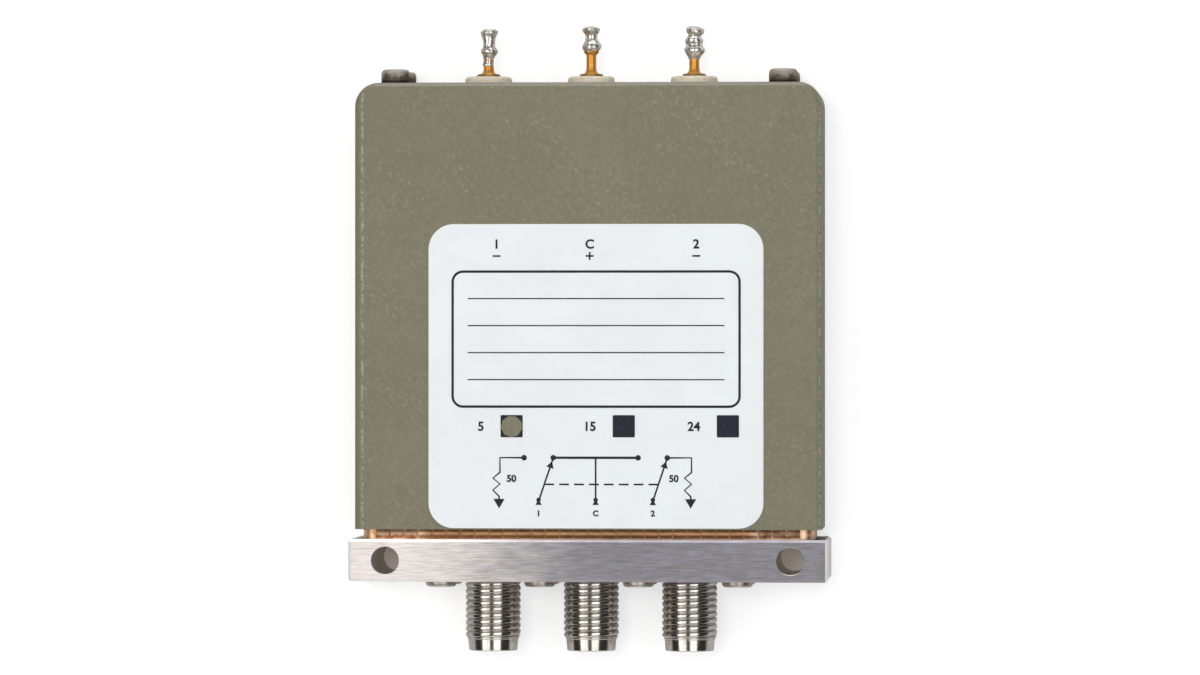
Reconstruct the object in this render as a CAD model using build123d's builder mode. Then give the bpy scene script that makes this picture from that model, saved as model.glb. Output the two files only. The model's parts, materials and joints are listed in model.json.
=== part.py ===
from build123d import *
import os
from math import asin, atan, cos, degrees, radians, sin, tan

# A latching two-way coaxial switch with three threaded coaxial ports and three solder terminals.
# A milled head carries the ports and the signal cavity. A tilting armature between two coils
# works two push rods, and each rod swings a contact reed between the common port and a load.
#
# Millimetres. +X is to the right, +Y runs from the ports to the solder terminals and +Z comes
# out of the labelled face. The origin lies midway between the two mounting holes, on the back
# face of the head. Names in capitals are sizes that can be set, the others follow from them.

# Head and its mounting holes
HEAD_WIDTH = 54.1
HEAD_HEIGHT = 4.8
HEAD_DEPTH = 14.2
HEAD_EDGE = 0.3
MOUNT_INSET = 4.2
MOUNT_HOLE_R = 1.55
MOUNT_DEBURR = 0.06
SPIGOT_HEIGHT = 4.8
SPIGOT_CLEARANCE = 0.6
CAVITY_HEIGHT = 5.6
CAVITY_DEPTH = 4.0
CAVITY_CORNER = 0.8

# Cover and the finger strip under its rim
COVER_HEIGHT = 50.4
COVER_WALL = 1.0
COVER_STEP_X = 0.7
COVER_STEP_Z = 0.4
COVER_CORNER = 2.7
COVER_EDGE = 0.9
RIM_GAP = 1.1
STRIP_RECESS = 0.6
STRIP_WALL = 0.15
STRIP_BASE = 0.15
STRIP_BOW = 0.25
STRIP_CORNER = 1.4
FINGER_PITCH = 1.6
FINGER_SLOT = 0.2

# Label
LABEL_WIDTH = 37.75
LABEL_HEIGHT = 34.25
LABEL_CORNER = 2.85
LABEL_THICKNESS = 0.15
LABEL_SHIFT = 0.95
LABEL_MARGIN = 0.15

# Coaxial ports
PORT_SPACING = 11.18
BARREL_R = 3.125
BARREL_LENGTH = 8.0
NOSE_LENGTH = 1.4
NOSE_R = 2.85
NOSE_TIP_R = 2.78
NOSE_SLOPE = 0.35
MOUTH_R = 2.325
MOUTH_DEPTH = 1.9
SHANK_R = 2.62
INSULATOR_R = 2.05
PIN_R = 0.635
SOCKET_R = 0.47
SOCKET_DEPTH = 2.6
SOCKET_SLOT = 0.14

# Screws
SCREW_R = 0.9
SCREW_EDGE = 1.35
HEAD_SCREW_R = 1.75
HEAD_SCREW_HEIGHT = 1.25
HEAD_SCREW_SUNK = 0.62
HEAD_SCREW_CROWN = 0.4
COVER_SCREW_R = 1.62
COVER_SCREW_HEIGHT = 1.55
COVER_SCREW_LENGTH = 6.0
RECESS_ARM = 1.0
RECESS_WIDTH = 0.42
RECESS_DEPTH = 0.7
HEAD_RECESS_DEPTH = 0.5
RECESS_TAPER = 8.0
SMALL_SCREW_R = 0.5
SMALL_HEAD_R = 0.95
SMALL_HEAD_HEIGHT = 0.6

# Contacts in the signal cavity
REED_LIFT = 2.8
REED_THICKNESS = 0.25
REED_WIDTH = 2.0
REED_EYE_R = 0.5
REED_PIN_R = 0.22
REED_TIP_GAP = 1.6
COMMON_BAR_REACH = 3.2
COMMON_BAR_THICKNESS = 0.5
FORK_CHEEK = 0.4
FORK_REACH = 0.6
LOAD_OFFSET = 4.8
LOAD_LENGTH = 6.0
LOAD_DEPTH = 3.2
LOAD_MARGIN = 0.5
LOAD_FINGER_THICKNESS = 0.3
LOAD_FINGER_WIDTH = 2.4

# Push rods, their bushes and springs
ROD_X = 6.2
ROD_R = 0.6
ROD_STROKE = 0.5
ROD_HEAD_R = 1.5
ROD_HEAD_THICKNESS = 0.5
BUSH_R = 1.2
BUSH_FLANGE_R = 1.6
BUSH_FLANGE_THICKNESS = 0.5
SPRING_R = 0.975
SPRING_WIRE_R = 0.125
SPRING_TURNS = 3.5

# Cavity lid, rocker and its bracket
LID_THICKNESS = 1.5
PIVOT_HEIGHT = 6.5
ROCKER_LENGTH = 26.0
ROCKER_THICKNESS = 2.2
ROCKER_HUB_R = 2.2
ROCKER_SIDE = 0.7
ROCKER_PIN_R = 0.8
NIB_REACH = 2.2
NIB_R = 0.5
NIB_WIDTH = 3.0
BRACKET_BASE = 1.0
BRACKET_CHEEK = 0.8
BRACKET_HALF = 2.6
BRACKET_SCREW_X = 3.1

# Coils, magnet and yoke
CORE_X = 10.2
CORE_R = 2.5
CORE_SHOE_R = 3.6
CORE_SHOE_HEIGHT = 1.5
CORE_RIVET_R = 1.6
CORE_RIVET_RISE = 0.3
POLE_GAP = 0.12
BOBBIN_WALL = 0.55
BOBBIN_FLANGE = 0.8
COIL_CLEARANCE = 0.3
WINDING_INSET = 0.2
MAGNET_WIDTH = 6.0
MAGNET_LENGTH = 10.0
MAGNET_DEPTH = 8.0
POLE_WIDTH = 4.8
POLE_TIP_WIDTH = 3.6
POLE_TIP_LENGTH = 3.0
POLE_DEPTH = 7.0
HUB_GAP = 0.4
YOKE_WIDTH = 30.0
YOKE_THICKNESS = 3.0
YOKE_SCREW_X = 5.2
YOKE_SCREW_BITE = 2.0

# Frame, board, leads and solder terminals
POST_WIDTH = 5.0
POST_CLEARANCE = 0.3
FOOT_THICKNESS = 1.8
FOOT_MARGIN = 1.9
BRIDGE_THICKNESS = 2.0
BOSS_R = 1.3
BOSS_HEIGHT = 2.0
BOARD_THICKNESS = 1.2
BOARD_DROP = 3.5
BOARD_MARGIN = 0.5
BOARD_SIDE_GAP = 0.7
BOARD_SCREW_INSET = 2.4
BOARD_SCREW_EDGE = 1.6
LEAD_R = 0.15
LEAD_SPREAD = 1.3
LEAD_START = 1.0
LEAD_BEND_R = 0.8
LEAD_INWARD = 1.1
DIODE_R = 0.85
DIODE_LENGTH = 3.4
DIODE_SPAN = 2.5
TERMINAL_SPACING = 11.7
TERMINAL_RISE = 6.15
TERMINAL_TAIL = 0.6
BUSHING_R = 2.65
BUSHING_RISE = 0.85
BUSHING_SHOULDER = 0.4
BUSHING_HOLE_GAP = 0.07
TURRET_R = 0.565
TURRET_RING_R = 1.3
TURRET_RING_HEIGHT = 0.4
TURRET_LOWER_R = 0.95
TURRET_LOWER_FROM = 2.65
TURRET_LOWER_TO = 3.35
TURRET_WAIST_R = 0.6
TURRET_TOP_R = 0.95
TURRET_TOP_THICKNESS = 0.55

# Clearances
THREAD_GAP = 0.03
RUNNING_GAP = 0.05
TOUCH_GAP = 0.05
SIDE_GAP = 0.1
SCREW_HOLE_GAP = 0.12

# Heights along Y
head_top = HEAD_HEIGHT / 2
head_bottom = -head_top
spigot_top = head_top + SPIGOT_HEIGHT
cavity_floor = spigot_top - CAVITY_HEIGHT
lid_top = spigot_top + LID_THICKNESS
rim_y = head_top + RIM_GAP
cover_top = rim_y + COVER_HEIGHT
cover_ceiling = cover_top - COVER_WALL
barrel_end = head_bottom - BARREL_LENGTH
mouth_floor = barrel_end + MOUTH_DEPTH
thread_end = barrel_end + NOSE_LENGTH
board_top = cover_ceiling - BOARD_DROP
board_bottom = board_top - BOARD_THICKNESS
bridge_top = board_bottom - BOSS_HEIGHT
yoke_top = bridge_top - BRIDGE_THICKNESS
yoke_bottom = yoke_top - YOKE_THICKNESS
pivot_y = lid_top + PIVOT_HEIGHT

# Places along X and half depths about the middle of the switch
mid_depth = HEAD_DEPTH / 2
head_half = HEAD_WIDTH / 2
mount_x = head_half - MOUNT_INSET
cover_half_x = head_half - COVER_STEP_X
cover_half_z = mid_depth - COVER_STEP_Z
cover_front = mid_depth + cover_half_z
room_half_x = cover_half_x - COVER_WALL
room_half_z = cover_half_z - COVER_WALL
spigot_half_x = room_half_x - SPIGOT_CLEARANCE
spigot_half_z = room_half_z - SPIGOT_CLEARANCE
strip_half_x = cover_half_x - STRIP_RECESS
strip_half_z = cover_half_z - STRIP_RECESS
screw_row = spigot_half_z - SCREW_EDGE
load_x = PORT_SPACING + LOAD_OFFSET
cavity_half = load_x + LOAD_LENGTH / 2 + LOAD_MARGIN
post_x = spigot_half_x - POST_CLEARANCE - POST_WIDTH / 2
post_outer = post_x + POST_WIDTH / 2
post_inner = post_x - POST_WIDTH / 2
foot_inner = 1.5 * PORT_SPACING - FOOT_MARGIN
cheek_outer = spigot_half_z - SIDE_GAP
cheek_inner = cheek_outer - BRACKET_CHEEK
hub_half = cheek_inner - SIDE_GAP
rocker_half_z = cheek_inner - ROCKER_SIDE
bracket_half_x = ROD_X - BUSH_FLANGE_R - COIL_CLEARANCE
flange_r = room_half_z - COIL_CLEARANCE
winding_r = flange_r - WINDING_INSET
yoke_half_z = spigot_half_z - SPIGOT_CLEARANCE
lead_z = (winding_r**2 - LEAD_SPREAD**2) ** 0.5 + LEAD_R + SIDE_GAP
bridge_half_z = lead_z - LEAD_R - COIL_CLEARANCE
board_half_x = post_inner - BOARD_MARGIN
board_half_z = room_half_z - BOARD_SIDE_GAP
board_screw_x = board_half_x - BOARD_SCREW_INSET
board_screw_z = board_half_z - BOARD_SCREW_EDGE

# Motion: the rocker rests tilted towards port 1, half a stroke from its middle either way
half_stroke = ROD_STROKE / 2
rocker_tilt = degrees(asin(half_stroke / ROD_X))
reed_tilt = degrees(atan(half_stroke / (PORT_SPACING - ROD_X)))
reed_y = cavity_floor + REED_LIFT
reed_reach = PORT_SPACING - REED_TIP_GAP
tip_swing = reed_reach * tan(radians(reed_tilt)) + REED_THICKNESS / 2
common_bar_top = reed_y - tip_swing - TOUCH_GAP
load_finger_y = reed_y + tip_swing + TOUCH_GAP
rod_bottom = reed_y + REED_THICKNESS / 2 + TOUCH_GAP
rod_top = pivot_y - NIB_REACH - TOUCH_GAP
bush_top = lid_top + BUSH_FLANGE_THICKNESS
arm_rise = ROCKER_LENGTH / 2 * sin(radians(rocker_tilt))
pole_face = pivot_y + arm_rise + ROCKER_THICKNESS / 2 * cos(radians(rocker_tilt)) + POLE_GAP
shoe_top = pole_face + CORE_SHOE_HEIGHT
bobbin_bottom = shoe_top + TOUCH_GAP
bobbin_top = yoke_bottom - TOUCH_GAP
magnet_bottom = yoke_bottom - MAGNET_LENGTH
pole_tip = pivot_y + ROCKER_HUB_R + HUB_GAP

PORTS = {"1": -PORT_SPACING, "common": 0.0, "2": PORT_SPACING}
TERMINALS = {"1": -TERMINAL_SPACING, "common": 0.0, "2": TERMINAL_SPACING}
SIDES = {"1": -1, "2": 1}

middle = Plane.XY.offset(mid_depth)
underside = Plane(origin=(0, head_bottom, mid_depth), x_dir=(1, 0, 0), z_dir=(0, -1, 0))

os.makedirs("parts", exist_ok=True)


def level(height):
    """Plane across the switch at a height along Y, facing the solder terminals."""
    return Plane(origin=(0, height, mid_depth), x_dir=(1, 0, 0), z_dir=(0, 1, 0))


def upright(x):
    """Axis parallel to Y through the middle depth at a place along X."""
    return Axis((x, 0, mid_depth), (0, 1, 0))


def turned(x, outline):
    """Turn an outline of (radius, height) corners about the upright axis at x."""
    with BuildPart() as piece:
        with BuildSketch(middle):
            with BuildLine():
                Polyline(*[(x + radius, height) for radius, height in outline], close=True)
            make_face()
        revolve(axis=upright(x))
    return piece.part


def screw(seat, head_r, head_height, shank_r, length):
    """Round-headed screw that stands on its head's seat, with its shank towards -Y."""
    with BuildPart() as piece:
        with BuildSketch(level(seat)):
            Circle(head_r)
        extrude(amount=head_height)
        crown = piece.edges().filter_by(GeomType.CIRCLE).group_by(Axis.Y)[-1]
        fillet(crown, radius=head_height * 0.3)
        with BuildSketch(level(seat)):
            Circle(shank_r)
        extrude(amount=-length)
    return piece.part


# ---------------------------------------------------------------- head and signal cavity

with BuildPart() as rf_head:
    with BuildSketch():
        Rectangle(HEAD_WIDTH, HEAD_HEIGHT)
    extrude(amount=HEAD_DEPTH)
    chamfer(rf_head.edges(), length=HEAD_EDGE)
    with BuildSketch(level(head_top)):
        Rectangle(2 * spigot_half_x, 2 * spigot_half_z)
    extrude(amount=SPIGOT_HEIGHT)
    with BuildSketch(level(spigot_top)):
        RectangleRounded(2 * cavity_half, CAVITY_DEPTH, CAVITY_CORNER)
    extrude(amount=-CAVITY_HEIGHT, mode=Mode.SUBTRACT)
    with BuildSketch(level(head_bottom)):
        with Locations(*[(x, 0) for x in PORTS.values()]):
            Circle(SHANK_R + THREAD_GAP)
    extrude(amount=cavity_floor - head_bottom, mode=Mode.SUBTRACT)
    with Locations(underside):
        with GridLocations(PORT_SPACING, 2 * screw_row, 4, 2):
            CounterBoreHole(
                radius=SCREW_R + SCREW_HOLE_GAP,
                counter_bore_radius=HEAD_SCREW_R + SCREW_HOLE_GAP,
                counter_bore_depth=HEAD_SCREW_SUNK,
                depth=spigot_top - head_bottom,
            )
    with BuildSketch():
        with GridLocations(2 * mount_x, 0, 2, 1):
            Circle(MOUNT_HOLE_R)
    extrude(amount=HEAD_DEPTH, mode=Mode.SUBTRACT)
    mouths = [
        edge
        for edge in rf_head.edges().filter_by(GeomType.CIRCLE)
        if abs(edge.arc_center.Y) < THREAD_GAP and abs(edge.radius - MOUNT_HOLE_R) < THREAD_GAP
    ]
    chamfer(mouths, length=MOUNT_DEBURR)
rf_head.part.label = "rf_head"
export_step(rf_head.part, "parts/rf_head.step")

for port, port_x in PORTS.items():
    shell_outline = [
        (INSULATOR_R, cavity_floor),
        (SHANK_R, cavity_floor),
        (SHANK_R, head_bottom),
        (BARREL_R, head_bottom),
        (BARREL_R, thread_end + NOSE_SLOPE),
        (NOSE_R, thread_end),
        (NOSE_TIP_R, barrel_end),
        (MOUTH_R, barrel_end),
        (MOUTH_R, mouth_floor),
        (INSULATOR_R, mouth_floor),
    ]
    with BuildPart() as connector_shell:
        add(turned(port_x, shell_outline))
    connector_shell.part.label = f"connector_shell_{port}"
    export_step(connector_shell.part, f"parts/connector_shell_{port}.step")

    insulator_outline = [
        (PIN_R + THREAD_GAP, cavity_floor),
        (INSULATOR_R - THREAD_GAP, cavity_floor),
        (INSULATOR_R - THREAD_GAP, mouth_floor),
        (PIN_R + THREAD_GAP, mouth_floor),
    ]
    with BuildPart() as connector_insulator:
        add(turned(port_x, insulator_outline))
    connector_insulator.part.label = f"connector_insulator_{port}"
    export_step(connector_insulator.part, f"parts/connector_insulator_{port}.step")

# The outer contacts end in a fork with a cross pin that carries the reed's eye.
fork_floor = reed_y - REED_EYE_R - SIDE_GAP
fork_inner = REED_WIDTH / 2 + RUNNING_GAP
fork_outer = fork_inner + FORK_CHEEK
pin_top = {"1": fork_floor, "common": common_bar_top - COMMON_BAR_THICKNESS, "2": fork_floor}

for port, port_x in PORTS.items():
    with BuildPart() as connector_contact:
        with BuildSketch(level(mouth_floor)):
            with Locations((port_x, 0)):
                Circle(PIN_R)
        extrude(amount=pin_top[port] - mouth_floor)
        with BuildSketch(level(mouth_floor)):
            with Locations((port_x, 0)):
                Circle(SOCKET_R)
        extrude(amount=SOCKET_DEPTH, mode=Mode.SUBTRACT)
        with BuildSketch(level(mouth_floor)):
            with Locations((port_x, 0)):
                Rectangle(3 * PIN_R, SOCKET_SLOT)
                Rectangle(SOCKET_SLOT, 3 * PIN_R)
        extrude(amount=SOCKET_DEPTH, mode=Mode.SUBTRACT)
        if port in SIDES:
            with BuildSketch(level(fork_floor - FORK_CHEEK)):
                with Locations((port_x, 0)):
                    Rectangle(2 * FORK_REACH, 2 * fork_outer)
            extrude(amount=FORK_CHEEK)
            with BuildSketch(level(fork_floor)):
                with Locations((port_x, 0)):
                    Rectangle(2 * FORK_REACH, 2 * fork_outer)
                    Rectangle(2 * FORK_REACH, 2 * fork_inner, mode=Mode.SUBTRACT)
            extrude(amount=reed_y + REED_EYE_R - fork_floor)
            with BuildSketch(middle):
                with Locations((port_x, reed_y)):
                    Circle(REED_PIN_R)
            extrude(amount=fork_inner, both=True)
    connector_contact.part.label = f"connector_contact_{port}"
    export_step(connector_contact.part, f"parts/connector_contact_{port}.step")

with BuildPart() as common_bar:
    with BuildSketch(level(common_bar_top)):
        RectangleRounded(2 * COMMON_BAR_REACH, REED_WIDTH, REED_THICKNESS)
    extrude(amount=-COMMON_BAR_THICKNESS)
common_bar.part.label = "common_bar"
export_step(common_bar.part, "parts/common_bar.step")

for side, sign in SIDES.items():
    # Reed 1 rests down on the common bar and reed 2 rests up against its load finger.
    with BuildPart() as contact_reed:
        blade = Plane(
            origin=(sign * PORT_SPACING, reed_y, mid_depth),
            x_dir=(-sign * cos(radians(reed_tilt)), sign * sin(radians(reed_tilt)), 0),
            z_dir=(0, 0, 1),
        )
        with BuildSketch(blade):
            with Locations((reed_reach / 2, 0)):
                Rectangle(reed_reach, REED_THICKNESS)
            Circle(REED_EYE_R)
            Circle(REED_PIN_R + RUNNING_GAP, mode=Mode.SUBTRACT)
        extrude(amount=REED_WIDTH / 2, both=True)
    contact_reed.part.label = f"contact_reed_{side}"
    export_step(contact_reed.part, f"parts/contact_reed_{side}.step")

    with BuildPart() as load_card:
        with BuildSketch(level(cavity_floor)):
            with Locations((sign * load_x, 0)):
                Rectangle(LOAD_LENGTH, LOAD_DEPTH)
        extrude(amount=load_finger_y - cavity_floor)
    load_card.part.label = f"load_card_{side}"
    export_step(load_card.part, f"parts/load_card_{side}.step")

    # The finger reaches from its card over the reed's tip, and the push rod passes through it.
    finger_end = load_x + LOAD_LENGTH / 2
    finger_length = finger_end - REED_TIP_GAP
    with BuildPart() as load_finger:
        with BuildSketch(level(load_finger_y)):
            with Locations((sign * (finger_end - finger_length / 2), 0)):
                Rectangle(finger_length, LOAD_FINGER_WIDTH)
            with Locations((sign * ROD_X, 0)):
                Circle(ROD_R + SIDE_GAP + RUNNING_GAP, mode=Mode.SUBTRACT)
        extrude(amount=LOAD_FINGER_THICKNESS)
    load_finger.part.label = f"load_finger_{side}"
    export_step(load_finger.part, f"parts/load_finger_{side}.step")

with BuildPart() as cavity_lid:
    with BuildSketch(level(spigot_top)):
        Rectangle(2 * spigot_half_x, 2 * spigot_half_z)
        with GridLocations(PORT_SPACING, 2 * screw_row, 4, 2):
            Circle(SCREW_R + THREAD_GAP, mode=Mode.SUBTRACT)
        with GridLocations(2 * ROD_X, 0, 2, 1):
            Circle(BUSH_R + THREAD_GAP, mode=Mode.SUBTRACT)
        with GridLocations(2 * BRACKET_SCREW_X, 0, 2, 1):
            Circle(SMALL_SCREW_R + THREAD_GAP, mode=Mode.SUBTRACT)
    extrude(amount=LID_THICKNESS)
cavity_lid.part.label = "cavity_lid"
export_step(cavity_lid.part, "parts/cavity_lid.step")

with BuildPart() as head_screws:
    screw_seat = head_bottom + HEAD_SCREW_SUNK
    with BuildSketch(level(screw_seat)):
        with GridLocations(PORT_SPACING, 2 * screw_row, 4, 2):
            Circle(HEAD_SCREW_R)
    extrude(amount=-HEAD_SCREW_HEIGHT)
    crowns = head_screws.edges().filter_by(GeomType.CIRCLE).group_by(Axis.Y)[0]
    fillet(crowns, radius=HEAD_SCREW_CROWN)
    # The inner four hold the lid, and the outer four reach through it into the frame's feet.
    with BuildSketch(level(screw_seat)):
        with GridLocations(PORT_SPACING, 2 * screw_row, 4, 2):
            Circle(SCREW_R)
    extrude(amount=lid_top - TOUCH_GAP - screw_seat)
    with BuildSketch(level(screw_seat)):
        with GridLocations(3 * PORT_SPACING, 2 * screw_row, 2, 2):
            Circle(SCREW_R)
    extrude(amount=lid_top + FOOT_THICKNESS - TOUCH_GAP - screw_seat)
    with BuildSketch(level(screw_seat - HEAD_SCREW_HEIGHT)):
        with GridLocations(PORT_SPACING, 2 * screw_row, 4, 2):
            Rectangle(2 * RECESS_ARM, RECESS_WIDTH)
            Rectangle(RECESS_WIDTH, 2 * RECESS_ARM)
    extrude(amount=HEAD_RECESS_DEPTH, taper=RECESS_TAPER, mode=Mode.SUBTRACT)
head_screws.part.label = "head_screws"
export_step(head_screws.part, "parts/head_screws.step")

# ---------------------------------------------------------------- push rods

with BuildPart() as guide_bushes:
    for sign in SIDES.values():
        bush_outline = [
            (ROD_R + RUNNING_GAP, spigot_top),
            (BUSH_R, spigot_top),
            (BUSH_R, lid_top),
            (BUSH_FLANGE_R, lid_top),
            (BUSH_FLANGE_R, bush_top),
            (ROD_R + RUNNING_GAP, bush_top),
        ]
        add(turned(sign * ROD_X, bush_outline))
guide_bushes.part.label = "guide_bushes"
export_step(guide_bushes.part, "parts/guide_bushes.step")

for side, sign in SIDES.items():
    shift = sign * half_stroke
    with BuildPart() as push_rod:
        with BuildSketch(level(rod_bottom + shift)):
            with Locations((sign * ROD_X, 0)):
                Circle(ROD_R)
        extrude(amount=rod_top - rod_bottom)
        tip = push_rod.edges().filter_by(GeomType.CIRCLE).group_by(Axis.Y)[0]
        fillet(tip, radius=ROD_R - SIDE_GAP)
        with BuildSketch(level(rod_top + shift)):
            with Locations((sign * ROD_X, 0)):
                Circle(ROD_HEAD_R)
        extrude(amount=-ROD_HEAD_THICKNESS)
    push_rod.part.label = f"push_rod_{side}"
    export_step(push_rod.part, f"parts/push_rod_{side}.step")

    spring_room = rod_top + shift - ROD_HEAD_THICKNESS - bush_top
    spring_height = spring_room - 2 * (SPRING_WIRE_R + TOUCH_GAP)
    with BuildPart() as return_spring:
        with BuildLine() as coil_path:
            Helix(
                pitch=spring_height / SPRING_TURNS,
                height=spring_height,
                radius=SPRING_R,
                center=(sign * ROD_X, bush_top + SPRING_WIRE_R + TOUCH_GAP, mid_depth),
                direction=(0, 1, 0),
            )
        coil = coil_path.line
        with BuildSketch(Plane(origin=coil @ 0, z_dir=coil % 0)):
            Circle(SPRING_WIRE_R)
        sweep(path=coil, is_frenet=True)
    return_spring.part.label = f"return_spring_{side}"
    export_step(return_spring.part, f"parts/return_spring_{side}.step")

# ---------------------------------------------------------------- rocker

with BuildPart() as rocker_armature:
    tilt = Plane(
        origin=(0, pivot_y, mid_depth),
        x_dir=(cos(radians(rocker_tilt)), sin(radians(rocker_tilt)), 0),
        z_dir=(0, 0, 1),
    )
    with BuildSketch(tilt):
        Rectangle(ROCKER_LENGTH, ROCKER_THICKNESS)
    extrude(amount=rocker_half_z, both=True)
    ends = rocker_armature.edges().filter_by(Axis.Z)
    fillet(ends, radius=NIB_R)
    with BuildSketch(tilt):
        with Locations((-ROD_X, NIB_R - NIB_REACH), (ROD_X, NIB_R - NIB_REACH)):
            Circle(NIB_R)
        with Locations((-ROD_X, -NIB_REACH / 2), (ROD_X, -NIB_REACH / 2)):
            Rectangle(2 * NIB_R, NIB_REACH - 2 * NIB_R)
    extrude(amount=NIB_WIDTH / 2, both=True)
    with BuildSketch(tilt):
        Circle(ROCKER_HUB_R)
    extrude(amount=hub_half, both=True)
    with BuildSketch(tilt):
        Circle(ROCKER_PIN_R + RUNNING_GAP)
    extrude(amount=hub_half, both=True, mode=Mode.SUBTRACT)
rocker_armature.part.label = "rocker_armature"
export_step(rocker_armature.part, "parts/rocker_armature.step")

with BuildPart() as rocker_pin:
    with BuildSketch(middle):
        with Locations((0, pivot_y)):
            Circle(ROCKER_PIN_R)
    extrude(amount=cheek_outer + SIDE_GAP, both=True)
    chamfer(rocker_pin.edges().filter_by(GeomType.CIRCLE), length=SIDE_GAP)
rocker_pin.part.label = "rocker_pin"
export_step(rocker_pin.part, "parts/rocker_pin.step")

with BuildPart() as rocker_bracket:
    with BuildSketch(level(lid_top)):
        Rectangle(2 * bracket_half_x, 2 * cheek_outer)
    extrude(amount=BRACKET_BASE)
    for back in (mid_depth - cheek_outer, mid_depth + cheek_inner):
        with BuildSketch(Plane.XY.offset(back)):
            with Locations((0, (lid_top + pivot_y) / 2)):
                Rectangle(2 * BRACKET_HALF, PIVOT_HEIGHT)
            with Locations((0, pivot_y)):
                Circle(BRACKET_HALF)
        extrude(amount=BRACKET_CHEEK)
    with BuildSketch(middle):
        with Locations((0, pivot_y)):
            Circle(ROCKER_PIN_R + THREAD_GAP)
    extrude(amount=cheek_outer, both=True, mode=Mode.SUBTRACT)
    with BuildSketch(level(lid_top)):
        with GridLocations(2 * BRACKET_SCREW_X, 0, 2, 1):
            Circle(SMALL_SCREW_R + THREAD_GAP)
    extrude(amount=BRACKET_BASE, mode=Mode.SUBTRACT)
rocker_bracket.part.label = "rocker_bracket"
export_step(rocker_bracket.part, "parts/rocker_bracket.step")

with BuildPart() as bracket_screws:
    bracket_screw_length = BRACKET_BASE + LID_THICKNESS - SIDE_GAP
    bracket_seat = lid_top + BRACKET_BASE
    with GridLocations(2 * BRACKET_SCREW_X, 0, 2, 1):
        add(screw(bracket_seat, SMALL_HEAD_R, SMALL_HEAD_HEIGHT, SMALL_SCREW_R, bracket_screw_length))
bracket_screws.part.label = "bracket_screws"
export_step(bracket_screws.part, "parts/bracket_screws.step")

# ---------------------------------------------------------------- coils and magnet

for side, sign in SIDES.items():
    core_x = sign * CORE_X
    core_outline = [
        (0, pole_face),
        (CORE_SHOE_R, pole_face),
        (CORE_SHOE_R, shoe_top),
        (CORE_R, shoe_top),
        (CORE_R, yoke_bottom),
        (CORE_RIVET_R, yoke_bottom),
        (CORE_RIVET_R, yoke_top + CORE_RIVET_RISE),
        (0, yoke_top + CORE_RIVET_RISE),
    ]
    with BuildPart() as core:
        add(turned(core_x, core_outline))
    core.part.label = f"core_{side}"
    export_step(core.part, f"parts/core_{side}.step")

    tube_r = CORE_R + RUNNING_GAP
    barrel_r = tube_r + BOBBIN_WALL
    bobbin_outline = [
        (tube_r, bobbin_bottom),
        (flange_r, bobbin_bottom),
        (flange_r, bobbin_bottom + BOBBIN_FLANGE),
        (barrel_r, bobbin_bottom + BOBBIN_FLANGE),
        (barrel_r, bobbin_top - BOBBIN_FLANGE),
        (flange_r, bobbin_top - BOBBIN_FLANGE),
        (flange_r, bobbin_top),
        (tube_r, bobbin_top),
    ]
    with BuildPart() as coil_bobbin:
        add(turned(core_x, bobbin_outline))
        # Two notches in the upper flange let the leads out towards the front.
        with BuildSketch(Plane.XY.offset(mid_depth + lead_z - LEAD_R - SIDE_GAP)):
            with Locations((core_x, bobbin_top - BOBBIN_FLANGE / 2)):
                with GridLocations(2 * LEAD_SPREAD, 0, 2, 1):
                    Rectangle(2 * (LEAD_R + SIDE_GAP), 2 * BOBBIN_FLANGE)
        extrude(amount=flange_r, mode=Mode.SUBTRACT)
    coil_bobbin.part.label = f"coil_bobbin_{side}"
    export_step(coil_bobbin.part, f"parts/coil_bobbin_{side}.step")

    winding_outline = [
        (barrel_r + TOUCH_GAP, bobbin_bottom + BOBBIN_FLANGE + TOUCH_GAP),
        (winding_r, bobbin_bottom + BOBBIN_FLANGE + TOUCH_GAP),
        (winding_r, bobbin_top - BOBBIN_FLANGE - TOUCH_GAP),
        (barrel_r + TOUCH_GAP, bobbin_top - BOBBIN_FLANGE - TOUCH_GAP),
    ]
    with BuildPart() as coil_winding:
        add(turned(core_x, winding_outline))
    coil_winding.part.label = f"coil_winding_{side}"
    export_step(coil_winding.part, f"parts/coil_winding_{side}.step")

with BuildPart() as permanent_magnet:
    with BuildSketch(level(yoke_bottom)):
        Rectangle(MAGNET_WIDTH, MAGNET_DEPTH)
    extrude(amount=-MAGNET_LENGTH)
permanent_magnet.part.label = "permanent_magnet"
export_step(permanent_magnet.part, "parts/permanent_magnet.step")

with BuildPart() as centre_pole:
    with BuildSketch(middle):
        with BuildLine():
            Polyline(
                (-POLE_WIDTH / 2, magnet_bottom),
                (POLE_WIDTH / 2, magnet_bottom),
                (POLE_WIDTH / 2, pole_tip + POLE_TIP_LENGTH),
                (POLE_TIP_WIDTH / 2, pole_tip),
                (-POLE_TIP_WIDTH / 2, pole_tip),
                (-POLE_WIDTH / 2, pole_tip + POLE_TIP_LENGTH),
                close=True,
            )
        make_face()
    extrude(amount=POLE_DEPTH / 2, both=True)
centre_pole.part.label = "centre_pole"
export_step(centre_pole.part, "parts/centre_pole.step")

with BuildPart() as yoke:
    with BuildSketch(level(yoke_bottom)):
        RectangleRounded(YOKE_WIDTH, 2 * yoke_half_z, CORE_RIVET_R)
        with GridLocations(2 * CORE_X, 0, 2, 1):
            Circle(CORE_RIVET_R + THREAD_GAP, mode=Mode.SUBTRACT)
    extrude(amount=YOKE_THICKNESS)
    with BuildSketch(level(yoke_top)):
        with GridLocations(2 * YOKE_SCREW_X, 0, 2, 1):
            Circle(SMALL_SCREW_R + THREAD_GAP)
    extrude(amount=-YOKE_SCREW_BITE, mode=Mode.SUBTRACT)
yoke.part.label = "yoke"
export_step(yoke.part, "parts/yoke.step")

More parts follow.
